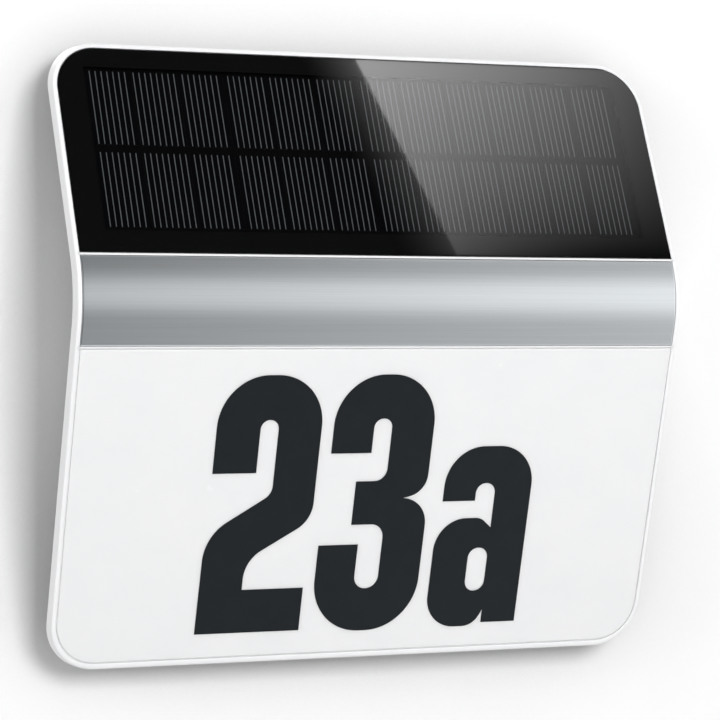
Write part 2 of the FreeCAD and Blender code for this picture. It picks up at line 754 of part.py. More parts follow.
def battery_cell(i):
    """A round cell lying along X, turned end for end from one to the next."""
    z = cell_height(i)
    along = Vector(1, 0, 0)
    points_right = i % 2 == 0
    barrel = CELL_LENGTH - NIPPLE
    start = CELL_LEFT if points_right else CELL_LEFT + NIPPLE
    body = Part.makeCylinder(CELL_R, barrel, Vector(start, CELL_Y, z), along)
    body = body.makeChamfer(CELL_EDGE, circles(body))
    tip = start + barrel - SINK if points_right else start - NIPPLE
    return body.fuse(Part.makeCylinder(NIPPLE_R, NIPPLE + SINK, Vector(tip, CELL_Y, z), along))


def contact_reach(side):
    """From the middle of a contact strip to the cell that it presses on."""
    if side < 0:
        return BAY_LEFT + CONTACT / 2, CELL_LEFT - CONTACT_GAP
    return BAY_RIGHT - CONTACT / 2, CELL_LEFT + CELL_LENGTH + CONTACT_GAP


def leaf_spring(side, z):
    """A bowed leaf that presses on a cell's flat end."""
    root, tip = contact_reach(side)
    spans = ((CONTACT_HALF, tip), (CONTACT_HALF - CONTACT, tip + side * CONTACT))
    ends = []
    bows = []
    for half, crown in spans:
        low, high = Vector(root, 0, z - half), Vector(root, 0, z + half)
        ends.append((low, high))
        bows.append(Part.Arc(low, Vector(crown, 0, z), high).toShape())
    feet = [Part.LineSegment(ends[0][i], ends[1][i]).toShape() for i in (0, 1)]
    leaf = Part.Face(Part.Wire(Part.__sortEdges__(bows + feet)))
    leaf = leaf.extrude(Vector(0, LEAF_WIDTH, 0))
    leaf.translate(Vector(0, CELL_Y - LEAF_WIDTH / 2, 0))
    return leaf


def pip(side, z):
    """A raised pip that meets a cell's nipple."""
    root, tip = contact_reach(side)
    return Part.makeCylinder(PIP_R, abs(tip - root), Vector(root, CELL_Y, z), Vector(-side, 0, 0))


def contact(side, cells, leaf=None, nub=None):
    """A plate behind one or two cells, with a leaf for a flat end and a pip for a nipple."""
    reach = CONTACT_HALF + SINK
    x = BAY_LEFT if side < 0 else BAY_RIGHT - CONTACT
    low = cell_height(cells[-1]) - reach
    high = cell_height(cells[0]) + reach
    plate = block(x, x + CONTACT, CELL_Y - CONTACT_HALF, CELL_Y + CONTACT_HALF, low, high)
    if leaf is not None:
        plate = plate.fuse(leaf_spring(side, cell_height(leaf)))
    if nub is not None:
        plate = plate.fuse(pip(side, cell_height(nub)))
    return plate


def contacts_left():
    return Part.makeCompound([contact(-1, (0, 1), leaf=0, nub=1), contact(-1, (2,), leaf=2)])


def contacts_right():
    return Part.makeCompound([contact(1, (0,), nub=0), contact(1, (1, 2), leaf=1, nub=2)])


# ---- electronics ----
def control_board():
    board = block(BOARD_LEFT, BOARD_RIGHT, BOARD_FRONT, BOARD_BACK, BOARD_BOTTOM, BOARD_TOP)
    for x, z in standoff_spots():
        board = board.cut(rod(CLEAR_R, x, z, BOARD_FRONT - SINK, BOARD_BACK + SINK))
    return board


def control_chip():
    x, z = CHIP_SPOT
    half_width, half_height, thick = 3.0, 4.0, 1.5
    leg, leg_reach, leg_pitch = 0.5, 1.2, 1.8
    top = BOARD_FRONT - thick
    chip = block(x - half_width, x + half_width, top, BOARD_FRONT, z - half_height, z + half_height)
    reach = half_width + leg_reach
    legs = []
    for i in range(4):
        low = z + (i - 1.5) * leg_pitch - leg / 2
        legs.append(block(x - reach, x + reach, BOARD_FRONT - leg, BOARD_FRONT, low, low + leg))
    return chip.multiFuse(legs)


def inductor():
    """A shielded coil: a square ferrite block with blunt corners."""
    x, z = INDUCTOR_SPOT
    half, corner, height = 4.5, 1.5, 5.0
    area = rectangle(half, z - half, z + half, corner, corner, x)
    return prism(area, BOARD_FRONT - height, BOARD_FRONT)


def capacitors():
    radius, height, pitch = 3.0, 9.0, 9.0
    x, z = CAPACITOR_SPOT
    cans = []
    for i in range(2):
        cans.append(rod(radius, x + i * pitch, z, BOARD_FRONT - height, BOARD_FRONT))
    return Part.makeCompound(cans)


def board_plugs():
    half, high = PLUG[0] / 2, PLUG[2] / 2
    inner, low = half - PLUG_WALL, high - PLUG_WALL
    front = BOARD_FRONT - PLUG[1]
    plugs = []
    for x, z in (SOLAR_PLUG, LED_PLUG, BATTERY_PLUG):
        plug = block(x - half, x + half, front, BOARD_FRONT, z - high, z + high)
        mouth = block(x - inner, x + inner, front - SINK, LEAD_START, z - low, z + low)
        plugs.append(plug.cut(mouth))
    return Part.makeCompound(plugs)


def lead(route, place, width):
    """A flat lead along a route of (a, b) points in one plane, with round turns."""
    path = [Vector(a, b, 0) for a, b in route]
    last = len(path) - 1
    sides = []
    for side in (1, -1):
        corners = []
        for i, here in enumerate(path):
            back = (path[max(i, 1)] - path[max(i, 1) - 1]).normalize()
            ahead = min(i, last - 1)
            on = (path[ahead + 1] - path[ahead]).normalize()
            middle = (back + on).normalize()
            across = Vector(-middle.y, middle.x, 0) * (side * LEAD / middle.dot(on))
            turn = back.cross(on).z * side
            radius = 0 if i in (0, last) else LEAD_TURN - math.copysign(LEAD, turn)
            corners.append((here.x + across.x, here.y + across.y, radius))
        sides.append(corners)
    wire = rounded_wire(sides[0] + sides[1][::-1], place)
    return Part.Face(wire).extrude(width)


def twin_lead(plug, height, depth):
    """A flat two-core lead from a plug to a point behind the sign's front."""
    x, z = plug
    route = [(LEAD_START, z), (BOARD_FRONT - LEAD_REACH, z), (front_y(height) + depth, height)]
    return lead(route, lambda y, z: Vector(x - 2 * LEAD, y, z), Vector(4 * LEAD, 0, 0))


def solar_leads():
    return twin_lead(SOLAR_PLUG, SOLAR_PLUG[1] + SOLAR_LEAD_RISE, PANE + CELL + BACKING + 2 * LEAD)


def led_leads():
    height = (LED_BOARD_BOTTOM + LED_BOARD_TOP) / 2
    return twin_lead(LED_PLUG, height, PLATE_FRONT + 2 * LEAD)


def battery_leads():
    """One lead from the plug past the bay's front to each end of the row of cells."""
    x, z = BATTERY_PLUG
    bay_front = BOX_INNER_BACK - BAY_DEPTH - BAY_WALL
    wires = []
    for side, end in ((-1, BAY_RIGHT - LEAD_FROM_BAY_END), (1, BAY_LEFT + LEAD_FROM_BAY_END)):
        front = bay_front - LEAD_PAST_BAY - side * 2 * LEAD
        near = x + side * 2 * LEAD
        route = [(near, LEAD_START), (near, front), (end, front), (end, bay_front - FIT)]
        wires.append(lead(route, lambda a, b: Vector(a, b, z - LEAD), Vector(0, 0, 2 * LEAD)))
    return Part.makeCompound(wires)


# ---- screws ----
def pan_screw(x, z, seat, tip, towards):
    """A screw along Y. seat is where its head bears and tip where it ends."""
    crown = seat + towards * HEAD
    head = rod(HEAD_R, x, z, min(seat, crown), max(seat, crown))
    return head.fuse(rod(SHANK_R, x, z, min(seat, tip), max(seat, tip)))


def case_screws():
    screws = []
    for x, z in case_screw_spots():
        seat = front_y(z) + SHELL_DEPTH + SEAT_DEPTH
        screws.append(pan_screw(x, z, seat, front_y(z) + PANE_SEAT + 2 * SINK, 1))
    return Part.makeCompound(screws)


def board_screws():
    screws = []
    for x, z in standoff_spots():
        screws.append(pan_screw(x, z, BOARD_FRONT, BOX_INNER_BACK - SINK, -1))
    return Part.makeCompound(screws)


# ---- mode switch ----
def mode_switch():
    length, depth, _ = SWITCH_BODY
    left = SWITCH_X - length / 2
    body = block(left, left + length, BOARD_FRONT - depth, BOARD_FRONT, SWITCH_BASE, SWITCH_HIGH)
    return body.cut(switch_slot(SWITCH_BASE - SINK, SWITCH_HIGH - SWITCH_TOP))


def switch_knob():
    """The knob at the left end of its travel: a stem, a cap below the box and three grips."""
    x = SWITCH_X - SWITCH_TRAVEL / 2
    half = STEM / 2
    half_x, half_y = KNOB_CAP[0] / 2, KNOB_CAP[1] / 2
    high = BOX_BOTTOM - SWITCH_FIT
    low = high - KNOB_CAP[2]
    stem_top = SWITCH_HIGH - SWITCH_TOP - SWITCH_FIT
    stem = block(x - half, x + half, SWITCH_Y - half, SWITCH_Y + half, low + SINK, stem_top)
    cap = block(x - half_x, x + half_x, SWITCH_Y - half_y, SWITCH_Y + half_y, low, high)
    upright = [edge for edge in cap.Edges if edge.BoundBox.ZLength > KNOB_CAP[2] / 2]
    cap = cap.makeFillet(COVER_R, upright)
    front, back = SWITCH_Y - KNOB_GRIP_HALF, SWITCH_Y + KNOB_GRIP_HALF
    grips = []
    for i in (-1, 0, 1):
        left = x + i * KNOB_GRIP_PITCH - KNOB_GRIP_WIDTH / 2
        grips.append(block(left, left + KNOB_GRIP_WIDTH, front, back, low - KNOB_GRIP, low + SINK))
    return cap.multiFuse([stem] + grips)


# ---- wall bracket ----
def wall_bracket():
    area = rectangle(BRACKET_HALF, BRACKET_BOTTOM, BRACKET_TOP, BRACKET_CORNER, BRACKET_CORNER)
    plate = prism(area, front=-BRACKET, back=0)
    lip_back = -BRACKET - 2 * HANG_FIT - HOOK
    lip_front = lip_back - LIP
    lip = [
        (-BRACKET + SINK, SHELF_FOOT, 0),
        (lip_front, SHELF_FOOT, LIP_ROUND),
        (lip_front, LIP_TOP, LIP_ROUND),
        (lip_back, LIP_TOP, LIP_ROUND),
        (lip_back, SHELF_FOOT + SHELF, 0),
        (-BRACKET + SINK, SHELF_FOOT + SHELF, 0),
    ]
    pieces = [bar(lip, LIP_HALF)]
    for side in (-1, 1):
        pad = rectangle(PAD_HALF, PAD_BOTTOM, PAD_BOTTOM + PAD_HEIGHT, mid=side * PAD_X)
        pieces.append(prism(pad, BOX_BACK + HANG_FIT, -BRACKET + SINK))
        x = side * (BRACKET_HALF - FLANGE / 2)
        edge = rectangle(FLANGE / 2, BRACKET_BOTTOM + FLANGE_END, BRACKET_TOP - FLANGE_END, mid=x)
        pieces.append(prism(edge, -BRACKET - FLANGE_DEPTH, -BRACKET + SINK))
    bracket = plate.multiFuse(pieces)
    for side in (-1, 1):
        x = side * WALL_HOLE_SPACING / 2
        bracket = bracket.cut(rod(WALL_HOLE_R, x, BRACKET_MID, FAR_FRONT, SPILL))
        bracket = bracket.cut(rod(HEAD_SINK_R, x, BRACKET_MID, FAR_FRONT, -BRACKET + HEAD_SINK))
    return bracket


def main():
    os.makedirs("parts", exist_ok=True)
    save("wall_bracket", wall_bracket())
    save("front_frame", front_frame())
    save("rear_housing", rear_housing())
    save("housing_seal", housing_seal())
    save("solar_glass", solar_glass())
    save("pane_tape", pane_tape())
    save("solar_cells", solar_cells())
    save("solar_backing", solar_backing())
    save("aluminium_trim", aluminium_trim())
    save("number_panel", number_panel())
    save("panel_tape", panel_tape())
    save("numeral_2", on_panel(NUMERAL_2))
    save("numeral_3", on_panel(NUMERAL_3))
    save("letter_a", on_panel(LETTER_A).cut(on_panel(LETTER_A_COUNTER)))
    save("light_guide", light_guide())
    save("reflector_sheet", reflector_sheet())
    save("led_board", led_board())
    save("leds", leds())
    save("battery_seal", battery_seal())
    save("battery_cover", battery_cover())
    save("battery_cell_top", battery_cell(0))
    save("battery_cell_middle", battery_cell(1))
    save("battery_cell_bottom", battery_cell(2))
    save("battery_contacts_left", contacts_left())
    save("battery_contacts_right", contacts_right())
    save("control_board", control_board())
    save("control_chip", control_chip())
    save("inductor", inductor())
    save("capacitors", capacitors())
    save("board_plugs", board_plugs())
    save("solar_leads", solar_leads())
    save("led_leads", led_leads())
    save("battery_leads", battery_leads())
    save("case_screws", case_screws())
    save("board_screws", board_screws())
    save("mode_switch", mode_switch())
    save("switch_knob", switch_knob())


main()
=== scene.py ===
import bmesh
import bpy
import json
import math

from mathutils import Euler, Matrix, Vector
from mathutils.geometry import tessellate_polygon

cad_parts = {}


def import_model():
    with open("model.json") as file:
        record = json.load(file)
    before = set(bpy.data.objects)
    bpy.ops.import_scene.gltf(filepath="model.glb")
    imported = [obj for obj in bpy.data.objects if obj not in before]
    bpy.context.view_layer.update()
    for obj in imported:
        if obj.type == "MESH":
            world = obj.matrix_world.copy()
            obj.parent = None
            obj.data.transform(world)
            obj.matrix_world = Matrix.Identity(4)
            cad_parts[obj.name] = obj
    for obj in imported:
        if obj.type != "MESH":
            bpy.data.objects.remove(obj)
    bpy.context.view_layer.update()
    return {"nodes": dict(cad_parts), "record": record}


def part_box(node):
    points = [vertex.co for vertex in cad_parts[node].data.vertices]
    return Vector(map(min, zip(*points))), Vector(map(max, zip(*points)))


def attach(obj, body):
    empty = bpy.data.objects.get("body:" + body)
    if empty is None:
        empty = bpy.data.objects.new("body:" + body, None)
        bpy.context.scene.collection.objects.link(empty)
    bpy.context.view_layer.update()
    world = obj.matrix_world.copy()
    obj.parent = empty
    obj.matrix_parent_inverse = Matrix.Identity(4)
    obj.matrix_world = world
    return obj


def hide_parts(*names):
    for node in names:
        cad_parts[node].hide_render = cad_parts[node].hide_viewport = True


# Looks of the wall-hung solar house number sign.
#
# Sizes are millimetres, turned into metres by place(). Heights are counted from the sign's
# bottom edge, and depths from its bent front surface towards the wall, along Y.

MM = 0.001
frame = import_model()


def corners_of(node):
    """A node's lowest and highest corners, in millimetres."""
    low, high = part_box(node)
    return low / MM, high / MM


# ---- sizes read from the frame ----
SIGN_LOW, SIGN_HIGH = corners_of("front_frame")
SIGN_HALF = SIGN_HIGH.x
SIGN_HEIGHT = SIGN_HIGH.z - SIGN_LOW.z
ORIGIN_HEIGHT = -SIGN_LOW.z
PANE_LOW, PANE_HIGH = corners_of("solar_glass")
PANEL_LOW, PANEL_HIGH = corners_of("number_panel")
TRIM_LOW, TRIM_HIGH = corners_of("aluminium_trim")
CELLS_LOW, CELLS_HIGH = corners_of("solar_cells")

# ---- sizes of the bent case ----
APEX_HEIGHT = 146.1
APEX_Y = -59.5
EDGE_Y = -17.6
BEND_R = 40.7
CORNER_R = 18.5
RIM = 1.7
RIM_BOTTOM = 2.2
RIM_ROUND = 0.8
RIM_INNER_ROUND = 0.35
SHELL = 7.3
SEAT = 3.1
LEDGE = 1.4
LEDGE_WIDTH = 3.0
BAR_UPPER = (159.35, 160.25)
BAR_LOWER = (124.25, 125.05)
BAR_ROUND = 0.25
BAR_FOOT = 3.41
WEB_BOTTOM = 121.98
WEB_WINDOW = (16.0, 64.0, 128.05, 156.35)  # two of them: x from and to, height from and to
WEB_STEP = 2.0
BOSS_R = 3.2
BOSS_END = 5.6
PANE = 2.8  # thickness of the pane and of the panel
PANE_EDGE = 0.25
PANEL_EDGE = 0.5
PANEL_STEP = (0.35, 0.6)  # the panel's rebated edge reaches this far out, below this depth
TRIM_DEPTH = 3.0
TRIM_SHEET = 0.8
TRIM_EDGE = 0.5
WINDOW_MARGIN = 1.2  # from the cells to the black print on the pane
PRINT_CORNER = 1.0
CORNER_STEPS = 14
EDGE_STEPS = 4
BEND_STEPS = 28
SHARP_ANGLE = 32  # degrees, as the next two
FLAT_ANGLE = 1.0
BEVEL_ANGLE = 35
MERGE = 1e-7  # metres, as the next one
MERGE_COARSE = 2e-6

# ---- cells ----
CELL_COLUMNS = 12
CELL_ROWS = 2
CELL_SPACE = 0.6
CELL_ROW_SPACE = 2.8
CELL_FRONT = 2.88
CELL_BACK = 3.0
WIDE_CELLS = (1, 4, 7, 9)  # columns with one finger more
FINGERS = 7
FINGER_PITCH = 2.37
FINGER_WIDTH = 0.38
FINGER_DEPTH = 2.84
FINGER_END = 0.25

# ---- case screws ----
SCREW_X = (70.0, 112.0)
HEAD_R = 2.7
HEAD = 1.8
HEAD_SEAT = 1.6
SHANK_R = 1.2
SHANK_TIP = 4.1
HEAD_WALL_SHARE = 0.35  # of the head's height, below its dome
DOME_ANGLES = (20, 45, 65, 80)
THREAD_ROOT_SHARE = 0.78
RECESS = 1.1
RECESS_REACH = 1.3
RECESS_HALF = 0.32
RECESS_RIM = 1.75
RECESS_TAPER = 0.7
THREAD_PITCH = 0.9
ROUND_STEPS = 32

SLOPE_UPPER = (EDGE_Y - APEX_Y) / (SIGN_HEIGHT - APEX_HEIGHT)
SLOPE_LOWER = (EDGE_Y - APEX_Y) / APEX_HEIGHT
LEAN_UPPER = math.atan(SLOPE_UPPER)
LEAN_LOWER = math.atan(SLOPE_LOWER)
BEND_REACH = BEND_R * math.tan((LEAN_UPPER + LEAN_LOWER) / 2)
BEND_HIGH = APEX_HEIGHT + BEND_REACH * math.cos(LEAN_UPPER)
BEND_LOW = APEX_HEIGHT - BEND_REACH * math.cos(LEAN_LOWER)
CREST = BEND_LOW + BEND_R * math.sin(LEAN_LOWER)
CREST_CENTRE_Y = APEX_Y + (APEX_HEIGHT - BEND_LOW) * SLOPE_LOWER + BEND_R * math.cos(LEAN_LOWER)

# ---- camera, in metres and degrees, found from the sign's edges in the photograph ----
CAMERA_AT = Vector((-0.4446, -1.0669, -0.0362))
CAMERA_YAW = 23.10
CAMERA_PITCH = -0.524
CAMERA_LENS = 141.9


# ---- drawing ----
def front_y(height):
    """Where the sign's front surface lies at this height."""
    if height >= BEND_HIGH:
        return APEX_Y + (height - APEX_HEIGHT) * SLOPE_UPPER
    if height <= BEND_LOW:
        return APEX_Y + (APEX_HEIGHT - height) * SLOPE_LOWER
    return CREST_CENTRE_Y - math.sqrt(BEND_R**2 - (height - CREST) ** 2)


def place(x, depth, height):
    """The point at this depth behind the front surface, in metres."""
    return Vector((x, front_y(height) + depth, height - ORIGIN_HEIGHT)) * MM


def height_of(z):
    """The height above the sign's bottom edge of a node's corner."""
    return z + ORIGIN_HEIGHT


def spaced(low, high, steps):
    return [low + (high - low) * i / steps for i in range(steps + 1)]


def outline(half, low, high, low_r=0.0, high_r=0.0, stops=()):
    """(x, height) points round a rounded rectangle, anticlockwise seen from the front.

    The sides get a point at each of the stops, where they follow the bend.
    """
    points = []
    corners = (
        (-1, low, low_r, 180),
        (1, low, low_r, 270),
        (1, high, high_r, 0),
        (-1, high, high_r, 90),
    )
    for side, edge, radius, start in corners:
        mid_x = side * (half - radius)
        mid_z = edge + radius if edge == low else edge - radius
        for angle in spaced(start, start + 90, CORNER_STEPS):
            turn = math.radians(angle)
            points.append((mid_x + radius * math.cos(turn), mid_z + radius * math.sin(turn)))
        if start == 270:
            points += [(half, height) for height in stops]
    return points + [(-half, height) for height in reversed(stops)]


def quarter(size, near_side=True):
    """(inset, depth) pairs round a front edge of this radius, from the side to the front.

    Without near_side they go on from the front, down a side that faces inwards.
    """
    pairs = []
    for angle in spaced(0, 90, EDGE_STEPS):
        turn = math.radians(angle)
        pairs.append((size * (1 - math.cos(turn)), size * (1 - math.sin(turn))))
    return pairs if near_side else [(-inset, depth) for inset, depth in reversed(pairs)]


def add_ring(mesh, points, depth):
    return [mesh.verts.new(place(x, depth, height)) for x, height in points]


def join_rings(mesh, one, two, slot=0):
    count = len(one)
    for i in range(count):
        j = (i + 1) % count
        mesh.faces.new((one[i], one[j], two[j], two[i])).material_index = slot


def add_box(mesh, low, high, near, far):
    """A block between two (x, height) corners and two depths."""
    (x0, z0), (x1, z1) = low, high
    loop = [(x0, z0), (x1, z0), (x1, z1), (x0, z1)]
    front = add_ring(mesh, loop, near)
    back = add_ring(mesh, loop, far)
    join_rings(mesh, front, back)
    mesh.faces.new(front)
    mesh.faces.new(back)


def add_strip(mesh, profile, left, right):
    """A closed (height, depth) profile pushed along X from left to right."""
    ends = []
    for x in (left, right):
        ends.append([mesh.verts.new(place(x, depth, height)) for height, depth in profile])
    join_rings(mesh, *ends)
    for end in ends:
        mesh.faces.new(end)


def add_turned(mesh, profile, x, height, y_base):
    """A (radius, y) profile turned round an axis along Y. Returns its last ring."""
    rings = []
    for radius, y in profile:
        ring = []
        for i in range(ROUND_STEPS):
            turn = 2 * math.pi * i / ROUND_STEPS
            across, up = radius * math.cos(turn), radius * math.sin(turn)
            spot = Vector((x + across, y_base + y, height - ORIGIN_HEIGHT + up))
            ring.append(mesh.verts.new(spot * MM))
        rings.append(ring)
    for one, two in zip(rings, rings[1:]):
        join_rings(mesh, one, two)
    mesh.faces.new(rings[0])
    return rings[-1]


def finished(name, mesh, body, slot, node, smooth=SHARP_ANGLE, looks=None, soft=None):
    """Turns a bmesh into a piece that rides on a body and stands for a node.

    Edges sharper than smooth, in degrees, stay sharp. The looks are its materials where they
    aren't its slot's own. Soft is how wide its edges are rounded.
    """
    bmesh.ops.remove_doubles(mesh, verts=mesh.verts, dist=MERGE)
    bmesh.ops.recalc_face_normals(mesh, faces=mesh.faces)
    data = bpy.data.meshes.new(name)
    mesh.to_mesh(data)
    mesh.free()
    piece = bpy.data.objects.new(name, data)
    bpy.context.scene.collection.objects.link(piece)
    for polygon in data.polygons:
        polygon.use_smooth = True
    data.set_sharp_from_angle(angle=math.radians(smooth))
    if soft:
        rounding = piece.modifiers.new("soft edges", "BEVEL")
        rounding.width = soft * MM
        rounding.segments = 2
        rounding.limit_method = "ANGLE"
        rounding.angle_limit = math.radians(BEVEL_ANGLE)
        rounding.use_clamp_overlap = True
    weighted = piece.modifiers.new("even shading", "WEIGHTED_NORMAL")
    weighted.keep_sharp = True
    for look in looks or [LOOKS[slot]]:
        data.materials.append(look)
    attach(piece, body)
    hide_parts(node)


# ---- materials ----
def linear(value):
    """A grey or colour channel from 0 to 255, as light."""
    value = value / 255
    return value / 12.92 if value <= 0.04045 else ((value + 0.055) / 1.055) ** 2.4


def colour(red, green, blue):
    return (linear(red), linear(green), linear(blue), 1.0)


class Look:
    """A material's node tree, and short calls for what it needs. Sizes are millimetres."""

    def __init__(self, name, roughness=0.5, metallic=0.0, **sockets):
        self.material = bpy.data.materials.new(name)
        self.material.use_nodes = True
        self.nodes = self.material.node_tree.nodes
        self.links = self.material.node_tree.links
        self.shader = self.nodes["Principled BSDF"]
        self.shader.inputs["Roughness"].default_value = roughness
        self.shader.inputs["Metallic"].default_value = metallic
        for socket, value in sockets.items():
            self.shader.inputs[socket.replace("_", " ")].default_value = value
        self.spot = self.add("ShaderNodeTexCoord").outputs["Object"]
        self.normal = None

    def add(self, kind):
        return self.nodes.new(kind)

    def put(self, value, socket):
        """Links an output, or sets a plain value."""
        if isinstance(value, bpy.types.NodeSocket):
            self.links.new(value, socket)
        else:
            socket.default_value = value

    def mapped(self, size, stretch=(1, 1, 1)):
        """Coordinates counted in steps of this size, stretched along X, Y and Z."""
        mapping = self.add("ShaderNodeMapping")
        mapping.inputs["Scale"].default_value = [1 / (size * MM * s) for s in stretch]
        self.links.new(self.spot, mapping.inputs["Vector"])
        return mapping.outputs["Vector"]

    def noise(self, size, detail=3.0, rough=0.5, stretch=(1, 1, 1)):
        texture = self.add("ShaderNodeTexNoise")
        texture.inputs["Scale"].default_value = 1.0
        texture.inputs["Detail"].default_value = detail
        texture.inputs["Roughness"].default_value = rough
        self.links.new(self.mapped(size, stretch), texture.inputs["Vector"])
        return texture.outputs["Fac"]

    def cells(self, size, feature="F1"):
        texture = self.add("ShaderNodeTexVoronoi")
        texture.feature = feature
        texture.inputs["Scale"].default_value = 1.0
        self.links.new(self.mapped(size), texture.inputs["Vector"])
        return texture.outputs["Distance"]

    def span(self, value, low, high, start=0.0, end=1.0):
        """Turns start..end into low..high."""
        node = self.add("ShaderNodeMapRange")
        self.put(value, node.inputs["Value"])
        node.inputs["From Min"].default_value = start
        node.inputs["From Max"].default_value = end
        node.inputs["To Min"].default_value = low
        node.inputs["To Max"].default_value = high
        return node.outputs["Result"]

    def blend(self, value, one, two):
        """A colour between two, by value."""
        node = self.add("ShaderNodeMix")
        node.data_type = "RGBA"
        self.put(value, node.inputs["Factor"])
        self.put(one, node.inputs[6])
        self.put(two, node.inputs[7])
        return node.outputs[2]

    def maths(self, operation, one, two=0.0):
        node = self.add("ShaderNodeMath")
        node.operation = operation
        self.put(one, node.inputs[0])
        self.put(two, node.inputs[1])
        return node.outputs[0]

    def show(self, shader):
        """Makes this shader the material's surface."""
        self.links.new(shader.outputs[0], self.nodes["Material Output"].inputs["Surface"])

    def axis(self, output, name):
        node = self.add("ShaderNodeSeparateXYZ")
        self.links.new(output, node.inputs[0])
        return node.outputs[name]

    def paint(self, value, one, two):
        self.put(self.blend(value, one, two), self.shader.inputs["Base Color"])

    def gloss(self, value, low, high):
        self.put(self.span(value, low, high), self.shader.inputs["Roughness"])

    def bump(self, value, height, strength=1.0):
        """Adds relief of this height to what is there already."""
        node = self.add("ShaderNodeBump")
        node.inputs["Strength"].default_value = strength
        node.inputs["Distance"].default_value = height * MM
        self.put(value, node.inputs["Height"])
        if self.normal:
            self.links.new(self.normal, node.inputs["Normal"])
        self.normal = node.outputs["Normal"]
        self.links.new(self.normal, self.shader.inputs["Normal"])


def through_light(share, reach):
    """Sockets for plastic that lets some light wander under its surface."""
    return {
        "Subsurface_Weight": share,
        "Subsurface_Radius": (1.0, 1.0, 1.0),
        "Subsurface_Scale": reach * MM,
    }


TONE_SPREAD = 30.0


def moulded(name, one, two, rough, grain, height, **sockets):
    """Injection-moulded plastic: a fine spark-eroded grain and slow changes of tone."""
    look = Look(name, rough, **sockets)
    tone = look.noise(TONE_SPREAD, 4.0)
    fine = look.noise(grain, 2.0, 0.6)
    look.paint(look.maths("MULTIPLY", tone, look.span(fine, 0.8, 1.2)), one, two)
    look.gloss(look.noise(TONE_SPREAD / 3, 3.0), rough - 0.07, rough + 0.07)
    look.bump(fine, height)
    look.bump(look.noise(TONE_SPREAD, 1.0), height * 4, 0.4)
    return look


def frame_white():
    white = colour(240, 241, 243), colour(248, 248, 249)
    glow = through_light(0.3, 1.5)
    return moulded("satin white plastic", *white, 0.32, 0.35, 0.004, **glow).material


def housing_white():
    white = colour(226, 227, 229), colour(238, 238, 239)
    look = moulded("grained white plastic", *white, 0.55, 0.45, 0.02)
    look.bump(look.cells(0.8, "SMOOTH_F1"), 0.015, 0.6)
    return look.material


def bracket_plastic():
    grey = colour(200, 201, 202), colour(216, 216, 216)
    return moulded("bracket plastic", *grey, 0.5, 0.5, 0.02).material


def opal_acrylic():
    look = Look("opal acrylic", 0.24, IOR=1.49, **through_light(0.5, 2.5))
    cloud = look.noise(22.0, 3.0)
    look.paint(cloud, colour(237, 238, 239), colour(243, 243, 244))
    look.gloss(look.noise(9.0, 3.0), 0.2, 0.3)
    look.bump(look.noise(14.0, 2.0), 0.01, 0.5)
    return look.material


def numeral_film():
    look = Look("cut film", 0.42, Specular_IOR_Level=0.2)
    look.paint(look.noise(7.0, 4.0), colour(20, 25, 28), colour(27, 32, 36))
    look.gloss(look.noise(3.0, 3.0), 0.36, 0.48)
    look.bump(look.noise(0.6, 2.0), 0.003, 0.6)
    return look.material


def trim_aluminium():
    look = Look("brushed aluminium", 0.36, 1.0, Anisotropic=0.2)
    strokes = look.noise(1.0, 6.0, 0.7, (60, 0.16, 0.16))
    long_strokes = look.noise(1.0, 4.0, 0.6, (160, 0.5, 0.5))
    short_part = look.maths("MULTIPLY", strokes, 0.6)
    long_part = look.maths("MULTIPLY", long_strokes, 0.4)
    both = look.maths("ADD", short_part, long_part)
    look.paint(look.span(both, 0.0, 1.0, 0.3, 0.7), colour(203, 207, 210), colour(219, 223, 226))
    look.gloss(both, 0.27, 0.35)
    look.bump(strokes, 0.003, 0.5)
    tangent = look.add("ShaderNodeTangent")
    tangent.direction_type = "RADIAL"
    tangent.axis = "X"
    look.links.new(tangent.outputs["Tangent"], look.shader.inputs["Tangent"])
    return look.material


PANE_IOR = 1.75  # coated glass
PANE_ROUGHNESS = (0.012, 0.03)


def pane_ink():
    """The black print with the glass's shine over it."""
    shine = {"Coat_Weight": 0.84, "Coat_IOR": PANE_IOR, "Coat_Roughness": 0.02}
    look = Look("black print", 0.5, Specular_IOR_Level=0.0, **shine)
    look.paint(look.noise(12.0, 3.0), colour(9, 10, 10), colour(13, 13, 14))
    look.gloss(look.noise(4.0), 0.42, 0.58)
    return look.material


def cell_silicon():
    look = Look("dark silicon", 0.3, Specular_IOR_Level=0.02)
    streaks = look.noise(1.0, 3.0, 0.5, (1.2, 40, 9))
    look.paint(streaks, colour(5, 6, 8), colour(11, 11, 14))
    look.gloss(look.noise(2.0, 2.0), 0.25, 0.4)
    look.bump(look.noise(0.3, 2.0), 0.004, 0.5)
    return look.material


def finger_silver():
    look = Look("printed silver", 0.45, Specular_IOR_Level=0.1)
    look.paint(look.noise(0.7, 3.0), colour(90, 92, 95), colour(118, 120, 123))
    look.gloss(look.noise(0.5), 0.38, 0.55)
    return look.material


def clear_look(name, one, two):
    """A look without a shader of its own, and a see-through shader between two tints."""
    look = Look(name)
    look.nodes.remove(look.shader)
    clear = look.add("ShaderNodeBsdfTransparent")
    look.put(look.blend(look.noise(40.0), one, two), clear.inputs[0])
    return look, clear


